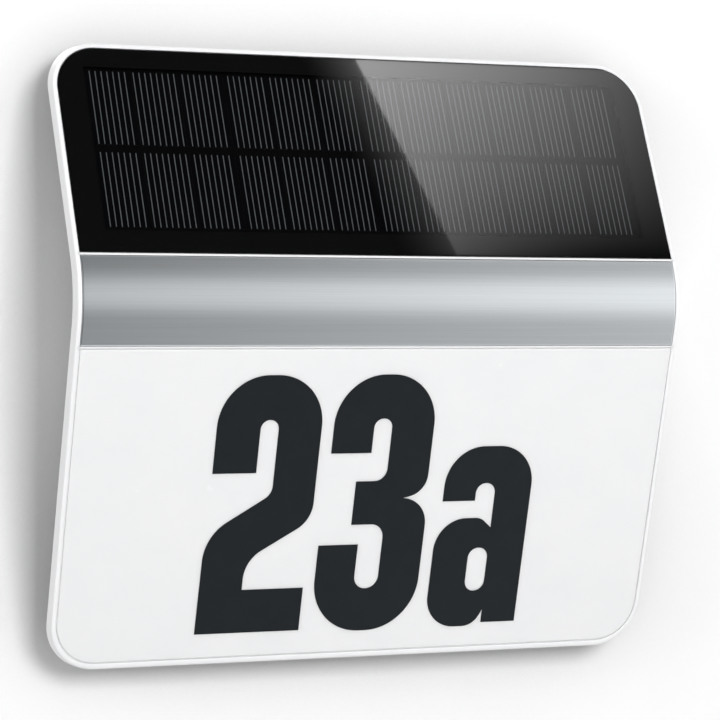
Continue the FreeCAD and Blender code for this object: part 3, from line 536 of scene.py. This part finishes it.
def pane_glass():
    """Clear glass: what lies behind it shows, under a reflection that grows at low angles."""
    look, clear = clear_look("pane glass", (0.97, 0.98, 0.98, 1), (0.99, 0.99, 0.99, 1))
    shine = look.add("ShaderNodeBsdfGlossy")
    look.put(look.span(look.noise(18.0, 4.0), *PANE_ROUGHNESS), shine.inputs["Roughness"])
    share = look.add("ShaderNodeFresnel")
    share.inputs["IOR"].default_value = PANE_IOR
    either = look.add("ShaderNodeMixShader")
    look.links.new(share.outputs["Fac"], either.inputs["Fac"])
    look.links.new(clear.outputs[0], either.inputs[1])
    look.links.new(shine.outputs[0], either.inputs[2])
    look.show(either)
    return look.material


def pane_back():
    """The back of the clear glass, which adds no reflection of its own."""
    look, clear = clear_look("pane glass back", (0.98, 0.99, 0.99, 1), (0.99, 1, 1, 1))
    look.show(clear)
    return look.material


def clear_acrylic():
    look = Look("clear acrylic", 0.1, IOR=1.49)
    dots = look.span(look.cells(1.6), 1.0, 0.0, 0.25, 0.32)
    look.paint(dots, colour(214, 222, 226), colour(244, 246, 247))
    look.gloss(dots, 0.08, 0.6)
    look.bump(dots, 0.05)
    return look.material


def reflector_white():
    look = Look("white reflector sheet", 0.6)
    look.paint(look.noise(5.0, 4.0), colour(240, 240, 240), colour(250, 250, 250))
    look.bump(look.noise(0.8, 3.0), 0.01)
    return look.material


def seal_rubber():
    look = Look("seal rubber", 0.7)
    look.paint(look.noise(2.5, 5.0), colour(26, 26, 27), colour(44, 44, 45))
    look.gloss(look.noise(1.2), 0.6, 0.8)
    look.bump(look.noise(0.5, 3.0), 0.02)
    return look.material


def foam_tape():
    look = Look("foam tape", 0.85)
    pores = look.cells(0.45)
    look.paint(pores, colour(16, 16, 16), colour(52, 52, 53))
    look.bump(pores, 0.08)
    return look.material


def backing_board():
    look = Look("backing laminate", 0.45, Specular_IOR_Level=0.03)
    weave = look.noise(1.0, 2.0, 0.5, (8, 8, 0.5))
    look.paint(weave, colour(5, 5, 6), colour(13, 13, 14))
    look.gloss(weave, 0.38, 0.55)
    look.bump(weave, 0.01)
    return look.material


def circuit_board():
    look = Look("solder mask", 0.3)
    tracks = look.span(look.cells(3.2, "DISTANCE_TO_EDGE"), 1.0, 0.0, 0.06, 0.12)
    grass = look.noise(6.0, 3.0)
    green = look.blend(grass, colour(14, 74, 44), colour(20, 92, 54))
    look.paint(tracks, green, colour(38, 122, 74))
    look.gloss(grass, 0.24, 0.38)
    look.bump(tracks, 0.05)
    return look.material


def led_body():
    look = Look("white lamp chips", 0.4)
    look.paint(look.noise(1.5, 3.0), colour(236, 226, 170), colour(248, 243, 214))
    look.gloss(look.noise(0.8), 0.32, 0.5)
    look.bump(look.noise(0.4), 0.01)
    return look.material


WRAP_BANDS = 126.0  # radians a metre: a green and a pale half on each cell


def cell_wrap():
    """Shrink wrap on the round cells, with bare nickel where a face looks along X."""
    look = Look("shrink wrap", 0.28)
    facing = look.axis(look.add("ShaderNodeNewGeometry").outputs["Normal"], "X")
    bare = look.span(look.maths("ABSOLUTE", facing), 0.0, 1.0, 0.75, 0.8)
    along = look.maths("MULTIPLY", look.axis(look.spot, "X"), WRAP_BANDS)
    band = look.span(look.maths("SINE", along), 0.0, 1.0, 0.0, 0.04)
    wrap = look.blend(band, colour(34, 104, 66), colour(216, 219, 214))
    wrap = look.blend(look.span(look.noise(1.4, 4.0), 0.0, 0.12), wrap, colour(30, 40, 34))
    look.paint(bare, wrap, colour(190, 188, 180))
    look.put(bare, look.shader.inputs["Metallic"])
    look.gloss(look.noise(3.0), 0.22, 0.36)
    look.bump(look.noise(2.2, 3.0, 0.5, (4, 1, 1)), 0.03)
    return look.material


def bright_metal(name, one, two, rough, size):
    look = Look(name, rough, 1.0)
    look.paint(look.noise(size * 4, 4.0), one, two)
    look.gloss(look.noise(size, 3.0), rough - 0.1, rough + 0.12)
    look.bump(look.noise(size / 2, 3.0), 0.006)
    return look.material


def contact_steel():
    return bright_metal("nickel plate", colour(176, 172, 162), colour(206, 202, 194), 0.32, 1.2)


def screw_steel():
    return bright_metal("zinc plate", colour(168, 170, 174), colour(206, 207, 208), 0.34, 0.9)


def capacitor_can():
    return bright_metal("drawn can", colour(158, 162, 168), colour(192, 195, 199), 0.26, 2.0)


def small_part(name, one, two, rough, size, height):
    look = Look(name, rough)
    look.paint(look.noise(size * 5, 4.0), one, two)
    look.gloss(look.noise(size * 3), rough - 0.06, rough + 0.1)
    look.bump(look.noise(size, 3.0), height)
    return look.material


def chip_black():
    return small_part("chip package", colour(24, 24, 26), colour(36, 36, 38), 0.55, 0.25, 0.02)


def ferrite():
    return small_part("fired ferrite", colour(44, 44, 48), colour(66, 66, 70), 0.65, 0.3, 0.03)


def plug_plastic():
    return small_part("plug plastic", colour(226, 220, 202), colour(240, 236, 222), 0.45, 0.5, 0.01)


def lead_cover():
    return small_part("lead insulation", colour(150, 26, 24), colour(176, 40, 34), 0.4, 0.6, 0.01)


def switch_black():
    return small_part("switch body", colour(22, 22, 24), colour(34, 34, 36), 0.4, 0.5, 0.01)


def knob_plastic():
    return small_part("knob plastic", colour(34, 35, 37), colour(52, 53, 55), 0.5, 0.4, 0.02)


LOOKS = {
    "bracket_plastic": bracket_plastic(),
    "frame_white": frame_white(),
    "housing_white": housing_white(),
    "seal_rubber": seal_rubber(),
    "pane_glass": pane_glass(),
    "foam_tape": foam_tape(),
    "cell_silicon": cell_silicon(),
    "backing_board": backing_board(),
    "trim_aluminium": trim_aluminium(),
    "opal_acrylic": opal_acrylic(),
    "numeral_film": numeral_film(),
    "clear_acrylic": clear_acrylic(),
    "reflector_white": reflector_white(),
    "circuit_board": circuit_board(),
    "led_body": led_body(),
    "cell_wrap": cell_wrap(),
    "contact_steel": contact_steel(),
    "chip_black": chip_black(),
    "ferrite": ferrite(),
    "capacitor_can": capacitor_can(),
    "plug_plastic": plug_plastic(),
    "lead_cover": lead_cover(),
    "screw_steel": screw_steel(),
    "switch_black": switch_black(),
    "knob_plastic": knob_plastic(),
}
INK = pane_ink()
PANE_BACK = pane_back()
SILVER = finger_silver()


def dress_frame_nodes():
    """Every node of the frame takes its slot's material."""
    for part in frame["record"]["subparts"]:
        node = frame["nodes"][part["node"]]
        if not node.material_slots:
            node.data.materials.append(None)
        for holder in node.material_slots:
            holder.material = LOOKS[part["material_slot"]]


# ---- front frame ----
def frame_ring(mesh, inset, depth):
    """One line of the rim's section, run round the sign. The rim is wider at the bottom."""
    low = inset * RIM_BOTTOM / RIM if inset < RIM else inset + RIM_BOTTOM - RIM
    corner = CORNER_R - inset
    stops = spaced(BEND_LOW, BEND_HIGH, BEND_STEPS)
    points = outline(SIGN_HALF - inset, low, SIGN_HEIGHT - inset, corner, corner, stops)
    return add_ring(mesh, points, depth)


def rim(mesh):
    """The white edge with its side wall and, inside, the ledge that carries the panes."""
    section = [(RIM_INNER_ROUND, SHELL), (0, SHELL - RIM_INNER_ROUND)]
    section += quarter(RIM_ROUND)
    section += [(RIM + inset, depth) for inset, depth in quarter(RIM_INNER_ROUND, False)]
    section += [(RIM, SEAT), (RIM + LEDGE_WIDTH, SEAT), (RIM + LEDGE_WIDTH, SEAT + LEDGE)]
    section += [(RIM, SEAT + LEDGE), (RIM, SHELL - RIM_INNER_ROUND), (RIM - RIM_INNER_ROUND, SHELL)]
    rings = [frame_ring(mesh, inset, depth) for inset, depth in section]
    for i, ring in enumerate(rings):
        join_rings(mesh, rings[i - 1], ring)


def crossbar(mesh, low, high):
    """A thin white bar between two heights, from rim to rim."""
    round_edge = quarter(BAR_ROUND)
    profile = [(low, BAR_FOOT)]
    profile += [(low + inset, depth) for inset, depth in round_edge]
    profile += [(high - inset, depth) for inset, depth in reversed(round_edge)]
    profile += [(high, BAR_FOOT)]
    half = SIGN_HALF - RIM / 2
    add_strip(mesh, profile, -half, half)


def web(mesh):
    """The plate behind the trim, with its two windows."""
    left, right, low, high = WEB_WINDOW
    half = SIGN_HALF - RIM - LEDGE_WIDTH / 2
    top = BAR_UPPER[1] + LEDGE_WIDTH
    bands = [(-half, half, WEB_BOTTOM, low), (-half, half, high, top), (-left, left, low, high)]
    bands += [(-half, -right, low, high), (right, half, low, high)]
    for x0, x1, z0, z1 in bands:
        heights = spaced(z0, z1, max(1, round((z1 - z0) / WEB_STEP)))
        profile = [(height, SEAT) for height in heights]
        profile += [(height, SEAT + LEDGE) for height in reversed(heights)]
        add_strip(mesh, profile, x0, x1)


def front_frame():
    """The white frame, with stubs of its screw bosses on the web."""
    mesh = bmesh.new()
    rim(mesh)
    crossbar(mesh, *BAR_UPPER)
    crossbar(mesh, *BAR_LOWER)
    web(mesh)
    boss = [(BOSS_R, SEAT + LEDGE), (BOSS_R, BOSS_END)]
    for x in SCREW_X:
        for side in (-1, 1):
            mesh.faces.new(add_turned(mesh, boss, side * x, CREST, front_y(CREST)))
    finished("front_frame_moulding", mesh, "sign", "frame_white", "front_frame")


# ---- tiles: the pane, the panel and the trim ----
def tile_rings(mesh, half, low, high, low_r, high_r, depth, edge, stops=(), step=None):
    """A tile's sides and rounded front edge. Returns its back and its front ring.

    A step is how far the sides reach out below a depth, and that depth.
    """
    sides = [(-step[0], depth), (-step[0], step[1]), (0, step[1])] if step else [(0, depth)]
    rings = []
    for inset, at in sides + quarter(edge):
        low_turn = max(low_r - inset, 0)
        high_turn = max(high_r - inset, 0)
        points = outline(half - inset, low + inset, high - inset, low_turn, high_turn, stops)
        rings.append(add_ring(mesh, points, at))
    for one, two in zip(rings, rings[1:]):
        join_rings(mesh, one, two)
    return rings[0], rings[-1]


def solar_glass():
    """The pane: glass, printed black all round on both faces and clear over the cells."""
    mesh = bmesh.new()
    half = PANE_HIGH.x
    low, high = height_of(PANE_LOW.z), height_of(PANE_HIGH.z)
    corner = CORNER_R - (SIGN_HALF - half)
    back, front = tile_rings(mesh, half, low, high, 0.0, corner, PANE, PANE_EDGE)
    window = outline(
        CELLS_HIGH.x + WINDOW_MARGIN,
        height_of(CELLS_LOW.z) - WINDOW_MARGIN,
        height_of(CELLS_HIGH.z) + WINDOW_MARGIN,
        PRINT_CORNER,
        PRINT_CORNER,
    )
    glass, ink, glass_back = range(3)
    for ring, depth, clear in ((front, 0, glass), (back, PANE, glass_back)):
        inner = add_ring(mesh, window, depth)
        join_rings(mesh, ring, inner, ink)
        mesh.faces.new(inner).material_index = clear
    looks = (LOOKS["pane_glass"], INK, PANE_BACK)
    finished("solar_pane", mesh, "sign", "pane_glass", "solar_glass", smooth=4, looks=looks)


def number_panel():
    """The opal panel, with a rebated edge."""
    mesh = bmesh.new()
    half = PANEL_HIGH.x
    low, high = height_of(PANEL_LOW.z), height_of(PANEL_HIGH.z)
    corner = CORNER_R - (SIGN_HALF - half)
    sizes = (half, low, high, corner, 0.0, PANE, PANEL_EDGE)
    back, front = tile_rings(mesh, *sizes, step=PANEL_STEP)
    mesh.faces.new(front)
    mesh.faces.new(back)
    finished("opal_panel", mesh, "sign", "opal_acrylic", "number_panel", smooth=50)


def bent_cap(mesh, ring, steps):
    """Closes a bent ring with strips from side to side.

    The ring has its four corners' points in turn, and the side's stops after the second and
    the fourth corner.
    """
    corner = CORNER_STEPS + 1
    right = ring[2 * corner - 1 : 2 * corner + steps + 2]
    left = [ring[0]] + ring[4 * corner + steps + 1 :][::-1]
    left = left + [ring[4 * corner + steps]]
    for i in range(len(right) - 1):
        mesh.faces.new((left[i], right[i], right[i + 1], left[i + 1]))


def aluminium_trim():
    """Thin sheet bent over the crest, with folded edges."""
    mesh = bmesh.new()
    half = TRIM_HIGH.x
    low, high = height_of(TRIM_LOW.z), height_of(TRIM_HIGH.z)
    stops = spaced(low + 2 * TRIM_EDGE, high - 2 * TRIM_EDGE, BEND_STEPS)
    back, front = tile_rings(mesh, half, low, high, 0.0, 0.0, TRIM_DEPTH, TRIM_EDGE, stops)
    bent_cap(mesh, front, BEND_STEPS)
    inside = outline(half - TRIM_SHEET, low + TRIM_SHEET, high - TRIM_SHEET, 0, 0, stops)
    lip = add_ring(mesh, inside, TRIM_DEPTH)
    floor = add_ring(mesh, inside, TRIM_SHEET)
    join_rings(mesh, back, lip)
    join_rings(mesh, lip, floor)
    bent_cap(mesh, floor, BEND_STEPS)
    finished("brushed_trim", mesh, "sign", "trim_aluminium", "aluminium_trim", smooth=40)


# ---- solar cells ----
def solar_cells():
    """The cells, and the printed silver fingers on them."""
    mesh = bmesh.new()
    fingers = bmesh.new()
    pitch = (CELLS_HIGH.x - CELLS_LOW.x + CELL_SPACE) / CELL_COLUMNS
    row_pitch = (CELLS_HIGH.z - CELLS_LOW.z + CELL_ROW_SPACE) / CELL_ROWS
    for row in range(CELL_ROWS):
        low = height_of(CELLS_LOW.z) + row * row_pitch
        high = low + row_pitch - CELL_ROW_SPACE
        for column in range(CELL_COLUMNS):
            mid = (column - (CELL_COLUMNS - 1) / 2) * pitch
            half = (pitch - CELL_SPACE) / 2
            add_box(mesh, (mid - half, low), (mid + half, high), CELL_FRONT, CELL_BACK)
            count = FINGERS + (column in WIDE_CELLS)
            for i in range(count):
                x = mid + (i - (count - 1) / 2) * FINGER_PITCH
                bottom = (x - FINGER_WIDTH / 2, low + FINGER_END)
                top = (x + FINGER_WIDTH / 2, high - FINGER_END)
                add_box(fingers, bottom, top, FINGER_DEPTH, CELL_FRONT)
    finished("silicon_cells", mesh, "sign", "cell_silicon", "solar_cells")
    finished("cell_fingers", fingers, "sign", "cell_silicon", "solar_cells", looks=[SILVER])


# ---- case screws ----
def cross(scale):
    """Corners of the cross recess, round its middle."""
    reach, half = RECESS_REACH * scale, RECESS_HALF * scale
    quarter_turn = [(half, half), (half, reach), (-half, reach)]
    points = []
    for i in range(4):
        turn = Matrix.Rotation(math.radians(90 * i), 2)
        points += [tuple(turn @ Vector(point)) for point in quarter_turn]
    return points


def screw(mesh, x, height):
    """A pan head with a cross recess, and a threaded shank."""
    seat = SHELL + HEAD_SEAT
    base = front_y(height)
    shank = [(SHANK_R / 3, SHANK_TIP)]
    ridges = int((seat - SHANK_TIP) / THREAD_PITCH)
    for i in range(ridges):
        y = SHANK_TIP + (i + 0.5) * THREAD_PITCH
        root = SHANK_R * THREAD_ROOT_SHARE
        shank += [(root, y - THREAD_PITCH / 4), (SHANK_R, y + THREAD_PITCH / 4)]
    dome = seat + HEAD * HEAD_WALL_SHARE
    shank += [(SHANK_R, seat), (HEAD_R, seat), (HEAD_R, dome)]
    for angle in DOME_ANGLES:
        turn = math.radians(angle)
        radius = RECESS_RIM + (HEAD_R - RECESS_RIM) * math.cos(turn)
        shank.append((radius, dome + HEAD * (1 - HEAD_WALL_SHARE) * math.sin(turn)))
    shank.append((RECESS_RIM, seat + HEAD))
    crown = add_turned(mesh, shank, x, height, base)
    top = base + seat + HEAD
    levels = []
    for scale, y in ((1.0, top), (RECESS_TAPER, top - RECESS)):
        points = [Vector((x + a, y, height - ORIGIN_HEIGHT + b)) * MM for a, b in cross(scale)]
        levels.append([mesh.verts.new(point) for point in points])
    join_rings(mesh, levels[0], levels[1])
    mesh.faces.new(levels[1])
    loops = [[vert.co for vert in crown], [vert.co for vert in levels[0]]]
    verts = crown + levels[0]
    for triangle in tessellate_polygon(loops):
        mesh.faces.new([verts[i] for i in triangle])


def case_screws():
    mesh = bmesh.new()
    for x in SCREW_X:
        for side in (-1, 1):
            screw(mesh, side * x, CREST)
    finished("recessed_screws", mesh, "sign", "screw_steel", "case_screws", smooth=40)


# ---- mouldings that keep the frame's shape, with soft edges ----
def softened(name, node, body, slot, width):
    """A node's shape with its edges rounded, as a mould leaves them."""
    mesh = bmesh.new()
    mesh.from_mesh(frame["nodes"][node].data)
    bmesh.ops.remove_doubles(mesh, verts=mesh.verts, dist=MERGE_COARSE)
    flat = math.radians(FLAT_ANGLE)
    bmesh.ops.dissolve_limit(mesh, angle_limit=flat, verts=mesh.verts, edges=mesh.edges)
    finished(name, mesh, body, slot, node, smooth=30, soft=width)


def rear_pieces():
    softened("housing_moulding", "rear_housing", "sign", "housing_white", 0.3)
    softened("cover_moulding", "battery_cover", "battery_door", "housing_white", 0.25)
    softened("bracket_moulding", "wall_bracket", "bracket", "bracket_plastic", 0.3)
    softened("knob_moulding", "switch_knob", "knob", "knob_plastic", 0.15)


# ---- camera, lamps and stage ----
CLIP_NEAR = 0.05
CLIP_FAR = 50
SENSOR = 36
WALL_GAP = 0.0006
WALL_HALF = 2.2
NEAR_SHADE_REACH = 0.06  # close to the sign the wall is darker
NEAR_SHADE = 0.1
NEAR_SHADE_SAMPLES = 12
FLOOR_Z = -1.6
FLOOR_HALF = 14.0
FLOOR_GLOW = 0.55
WORLD_LIGHT = 0.4
LAMPS = (  # name, place, size, power, whether reflections show it
    ("key", (0.14, -1.75, 0.48), 0.7, 22.0, False),
    ("fill", (-1.9, -0.5, 0.35), 1.2, 13.5, False),
    ("rear", (0.35, 1.5, 0.5), 1.2, 8.0, True),
)

# the soft window that shines in the pane: light at its corners, as it leaves the pane
CARD_REACH = 1.2
SHARE_OF_PANE = 0.0585  # of the light that meets the pane there
EDGE_TOP = (0.5, 240.0)  # the window's sharp left edge: x and height at its ends
EDGE_LOW = (29.4, 161.0)
CARD_RIGHT = 126.0
CARD_GLOW = (0.30, 0.068, 0.055, 0.0)  # along the top from left to right, then along the bottom
CARD_FADE = 2.9
HALO_WIDTH = 26.0
HALO_GLOW = (0.06, 0.022)
FLAG_REACH = 1.3
FLAG_HALF = 135.0
FLAG_HEIGHTS = (155.0, 245.0)
FLAG_GLOW = 0.0006
CARD_STEPS = 12

# the long lights that the trim mirrors, by their turn from -Y towards +X
BAND_REACH = 2.6
BAND_TURNS = (-70.0, 2.0, 62.0, 115.0)
BANDS = (  # rise above the level, light at the left, light at the right
    (-60.0, 0.05, 1.2),
    (-13.0, 0.05, 1.25),
    (-4.5, 0.4, 2.2),
    (13.0, 0.42, 2.2),
    (24.0, 0.0, 1.0),
    (34.0, 0.0, 0.9),
    (80.0, 0.0, 0.4),
)


def camera():
    data = bpy.data.cameras.new("camera")
    data.lens = CAMERA_LENS
    data.sensor_width = SENSOR
    data.clip_start = CLIP_NEAR
    data.clip_end = CLIP_FAR
    eye = bpy.data.objects.new("camera", data)
    eye.location = CAMERA_AT
    turn = [math.radians(90 + CAMERA_PITCH), 0, math.radians(-CAMERA_YAW)]
    eye.rotation_euler = Euler(turn)
    bpy.context.scene.collection.objects.link(eye)
    bpy.context.scene.camera = eye


def lamp(name, location, size, power, shines):
    """A square lamp that looks at the origin."""
    data = bpy.data.lights.new(name, "AREA")
    data.shape = "SQUARE"
    data.size = size
    data.energy = power
    light = bpy.data.objects.new(name, data)
    light.location = location
    light.rotation_euler = (-light.location).to_track_quat("-Z", "Y").to_euler()
    light.visible_glossy = shines
    bpy.context.scene.collection.objects.link(light)


def seen_rays(nodes, links):
    """1 for the rays that show the background: straight, mirrored or through glass."""
    path = nodes.new("ShaderNodeLightPath")
    last = path.outputs["Is Camera Ray"]
    for ray in ("Is Glossy Ray", "Is Transmission Ray"):
        either = nodes.new("ShaderNodeMath")
        either.operation = "MAXIMUM"
        links.new(last, either.inputs[0])
        links.new(path.outputs[ray], either.inputs[1])
        last = either.outputs[0]
    return last


def world():
    """White where the camera looks past everything, and a plain soft light elsewhere."""
    sky = bpy.data.worlds.new("studio")
    bpy.context.scene.world = sky
    sky.use_nodes = True
    nodes, links = sky.node_tree.nodes, sky.node_tree.links
    background = nodes["Background"]
    background.inputs["Color"].default_value = (1, 1, 1, 1)
    level = nodes.new("ShaderNodeMapRange")
    level.inputs["To Min"].default_value = WORLD_LIGHT
    level.inputs["To Max"].default_value = 1.0
    links.new(seen_rays(nodes, links), level.inputs["Value"])
    links.new(level.outputs["Result"], background.inputs["Strength"])


def stage_sheet(name, corners, faces, material):
    """A mesh of the stage, which is no part of the sign."""
    data = bpy.data.meshes.new(name)
    data.from_pydata(corners, [], faces)
    data.materials.append(material)
    sheet = bpy.data.objects.new(name, data)
    bpy.context.scene.collection.objects.link(sheet)
    return sheet


def wall_paint():
    """Pale wall that shows only to the camera, and only from the room."""
    look = Look("wall paint", 0.9)
    tone = look.blend(look.noise(60.0, 3.0), colour(246, 246, 246), colour(250, 250, 250))
    near = look.add("ShaderNodeAmbientOcclusion")
    near.samples = NEAR_SHADE_SAMPLES
    near.inputs["Distance"].default_value = NEAR_SHADE_REACH
    look.links.new(tone, near.inputs["Color"])
    shade = look.span(near.outputs["AO"], NEAR_SHADE, 1.0)
    look.paint(shade, (0, 0, 0, 1), tone)
    path = look.add("ShaderNodeLightPath").outputs["Is Camera Ray"]
    from_back = look.add("ShaderNodeNewGeometry").outputs["Backfacing"]
    seen = look.maths("MULTIPLY", path, look.maths("SUBTRACT", 1.0, from_back))
    clear = look.add("ShaderNodeBsdfTransparent")
    mix = look.add("ShaderNodeMixShader")
    look.links.new(seen, mix.inputs["Fac"])
    look.links.new(clear.outputs[0], mix.inputs[1])
    look.links.new(look.shader.outputs[0], mix.inputs[2])
    look.show(mix)
    return look.material


def floor_paint():
    look = Look("floor paint", 0.9)
    look.paint(look.noise(80.0, 3.0), colour(236, 236, 236), colour(242, 242, 242))
    look.put(colour(240, 240, 240), look.shader.inputs["Emission Color"])
    rays = seen_rays(look.nodes, look.links)
    look.put(look.span(rays, 0.0, FLOOR_GLOW), look.shader.inputs["Emission Strength"])
    return look.material


def light_look(name):
    """Light whose strength is stored at the sheet's points."""
    look = Look(name)
    look.nodes.remove(look.shader)
    level = look.add("ShaderNodeAttribute")
    level.attribute_name = "light"
    shine = look.add("ShaderNodeEmission")
    look.links.new(level.outputs["Fac"], shine.inputs["Strength"])
    look.show(shine)
    return look.material


def light_sheet(name, row, spots, lights):
    """A grid of light that only reflections show, with this many points in a row."""
    starts = [first for first in range(len(spots) - row) if (first + 1) % row]
    faces = [(i, i + 1, i + row + 1, i + row) for i in starts]
    card = stage_sheet(name, spots, faces, light_look(name + " light"))
    level = card.data.attributes.new("light", "FLOAT", "POINT")
    level.data.foreach_set("value", lights)
    card.visible_camera = False
    card.visible_diffuse = False
    card.visible_shadow = False
    card.visible_transmission = False
    card.visible_volume_scatter = False


def mirrored(x, height, reach):
    """Where the camera's ray goes after it meets the pane at this place."""
    meets = place(x, 0, height)
    ray = (meets - CAMERA_AT).normalized()
    normal = Vector((0, -1, SLOPE_UPPER)).normalized()
    return meets + (ray - 2 * ray.dot(normal) * normal) * reach


def glowing(name, spot, reach):
    """A light sheet that fills a patch of the pane. spot gives x, height and light by share."""
    row = CARD_STEPS + 1
    spots = [spot(i / CARD_STEPS, j / CARD_STEPS) for j in range(row) for i in range(row)]
    points = [mirrored(x, height, reach) for x, height, _ in spots]
    light_sheet(name, row, points, [light / SHARE_OF_PANE for _, _, light in spots])


def mixed(one, two, share):
    return one + (two - one) * share


def sharp_edge(share):
    """x and height on the window's left edge, from its bottom to its top."""
    return mixed(EDGE_LOW[0], EDGE_TOP[0], share), mixed(EDGE_LOW[1], EDGE_TOP[1], share)


def window_spot(a, b):
    """a runs from the sharp edge to the right, b from the bottom to the top."""
    edge_x, height = sharp_edge(b)
    top_left, top_right, low_left, low_right = CARD_GLOW
    low = mixed(low_left, low_right, 1 - (1 - a) ** CARD_FADE)
    light = mixed(low, mixed(top_left, top_right, a), b)
    return mixed(edge_x, CARD_RIGHT, a), height, light


def halo_spot(a, b):
    """The faint glow left of the sharp edge."""
    edge_x, height = sharp_edge(b)
    top, low = HALO_GLOW
    return edge_x - HALO_WIDTH * (1 - a), height, mixed(low, top, b) * a * a


def flag_spot(a, b):
    """Darkness round the window."""
    return mixed(-FLAG_HALF, FLAG_HALF, a), mixed(*FLAG_HEIGHTS, b), FLAG_GLOW


def band_card():
    """The long soft lights that the bend's trim mirrors, brightest level with its crest."""
    spots = []
    lights = []
    for rise, left, right in BANDS:
        for turn, light in zip(BAND_TURNS, (left, left, right, right)):
            a, b = math.radians(turn), math.radians(rise)
            flat = BAND_REACH * math.cos(b)
            spots.append((flat * math.sin(a), -flat * math.cos(a), BAND_REACH * math.sin(b)))
            lights.append(light)
    light_sheet("band_card", len(BAND_TURNS), spots, lights)


def stage():
    camera()
    world()
    for row in LAMPS:
        lamp(*row)
    w, y = WALL_HALF, WALL_GAP
    corners = [(-w, y, FLOOR_Z), (w, y, FLOOR_Z), (w, y, w), (-w, y, w)]
    stage_sheet("wall", corners, [range(4)], wall_paint())
    f = FLOOR_HALF
    corners = [(-f, -f, FLOOR_Z), (f, -f, FLOOR_Z), (f, f, FLOOR_Z), (-f, f, FLOOR_Z)]
    stage_sheet("floor", corners, [range(4)], floor_paint())
    glowing("window_card", window_spot, CARD_REACH)
    glowing("halo_card", halo_spot, CARD_REACH)
    glowing("dark_card", flag_spot, FLAG_REACH)
    band_card()


# ---- making ----
stage()
dress_frame_nodes()
front_frame()
solar_glass()
number_panel()
aluminium_trim()
solar_cells()
case_screws()
rear_pieces()
bpy.context.scene.view_settings.view_transform = "Standard"
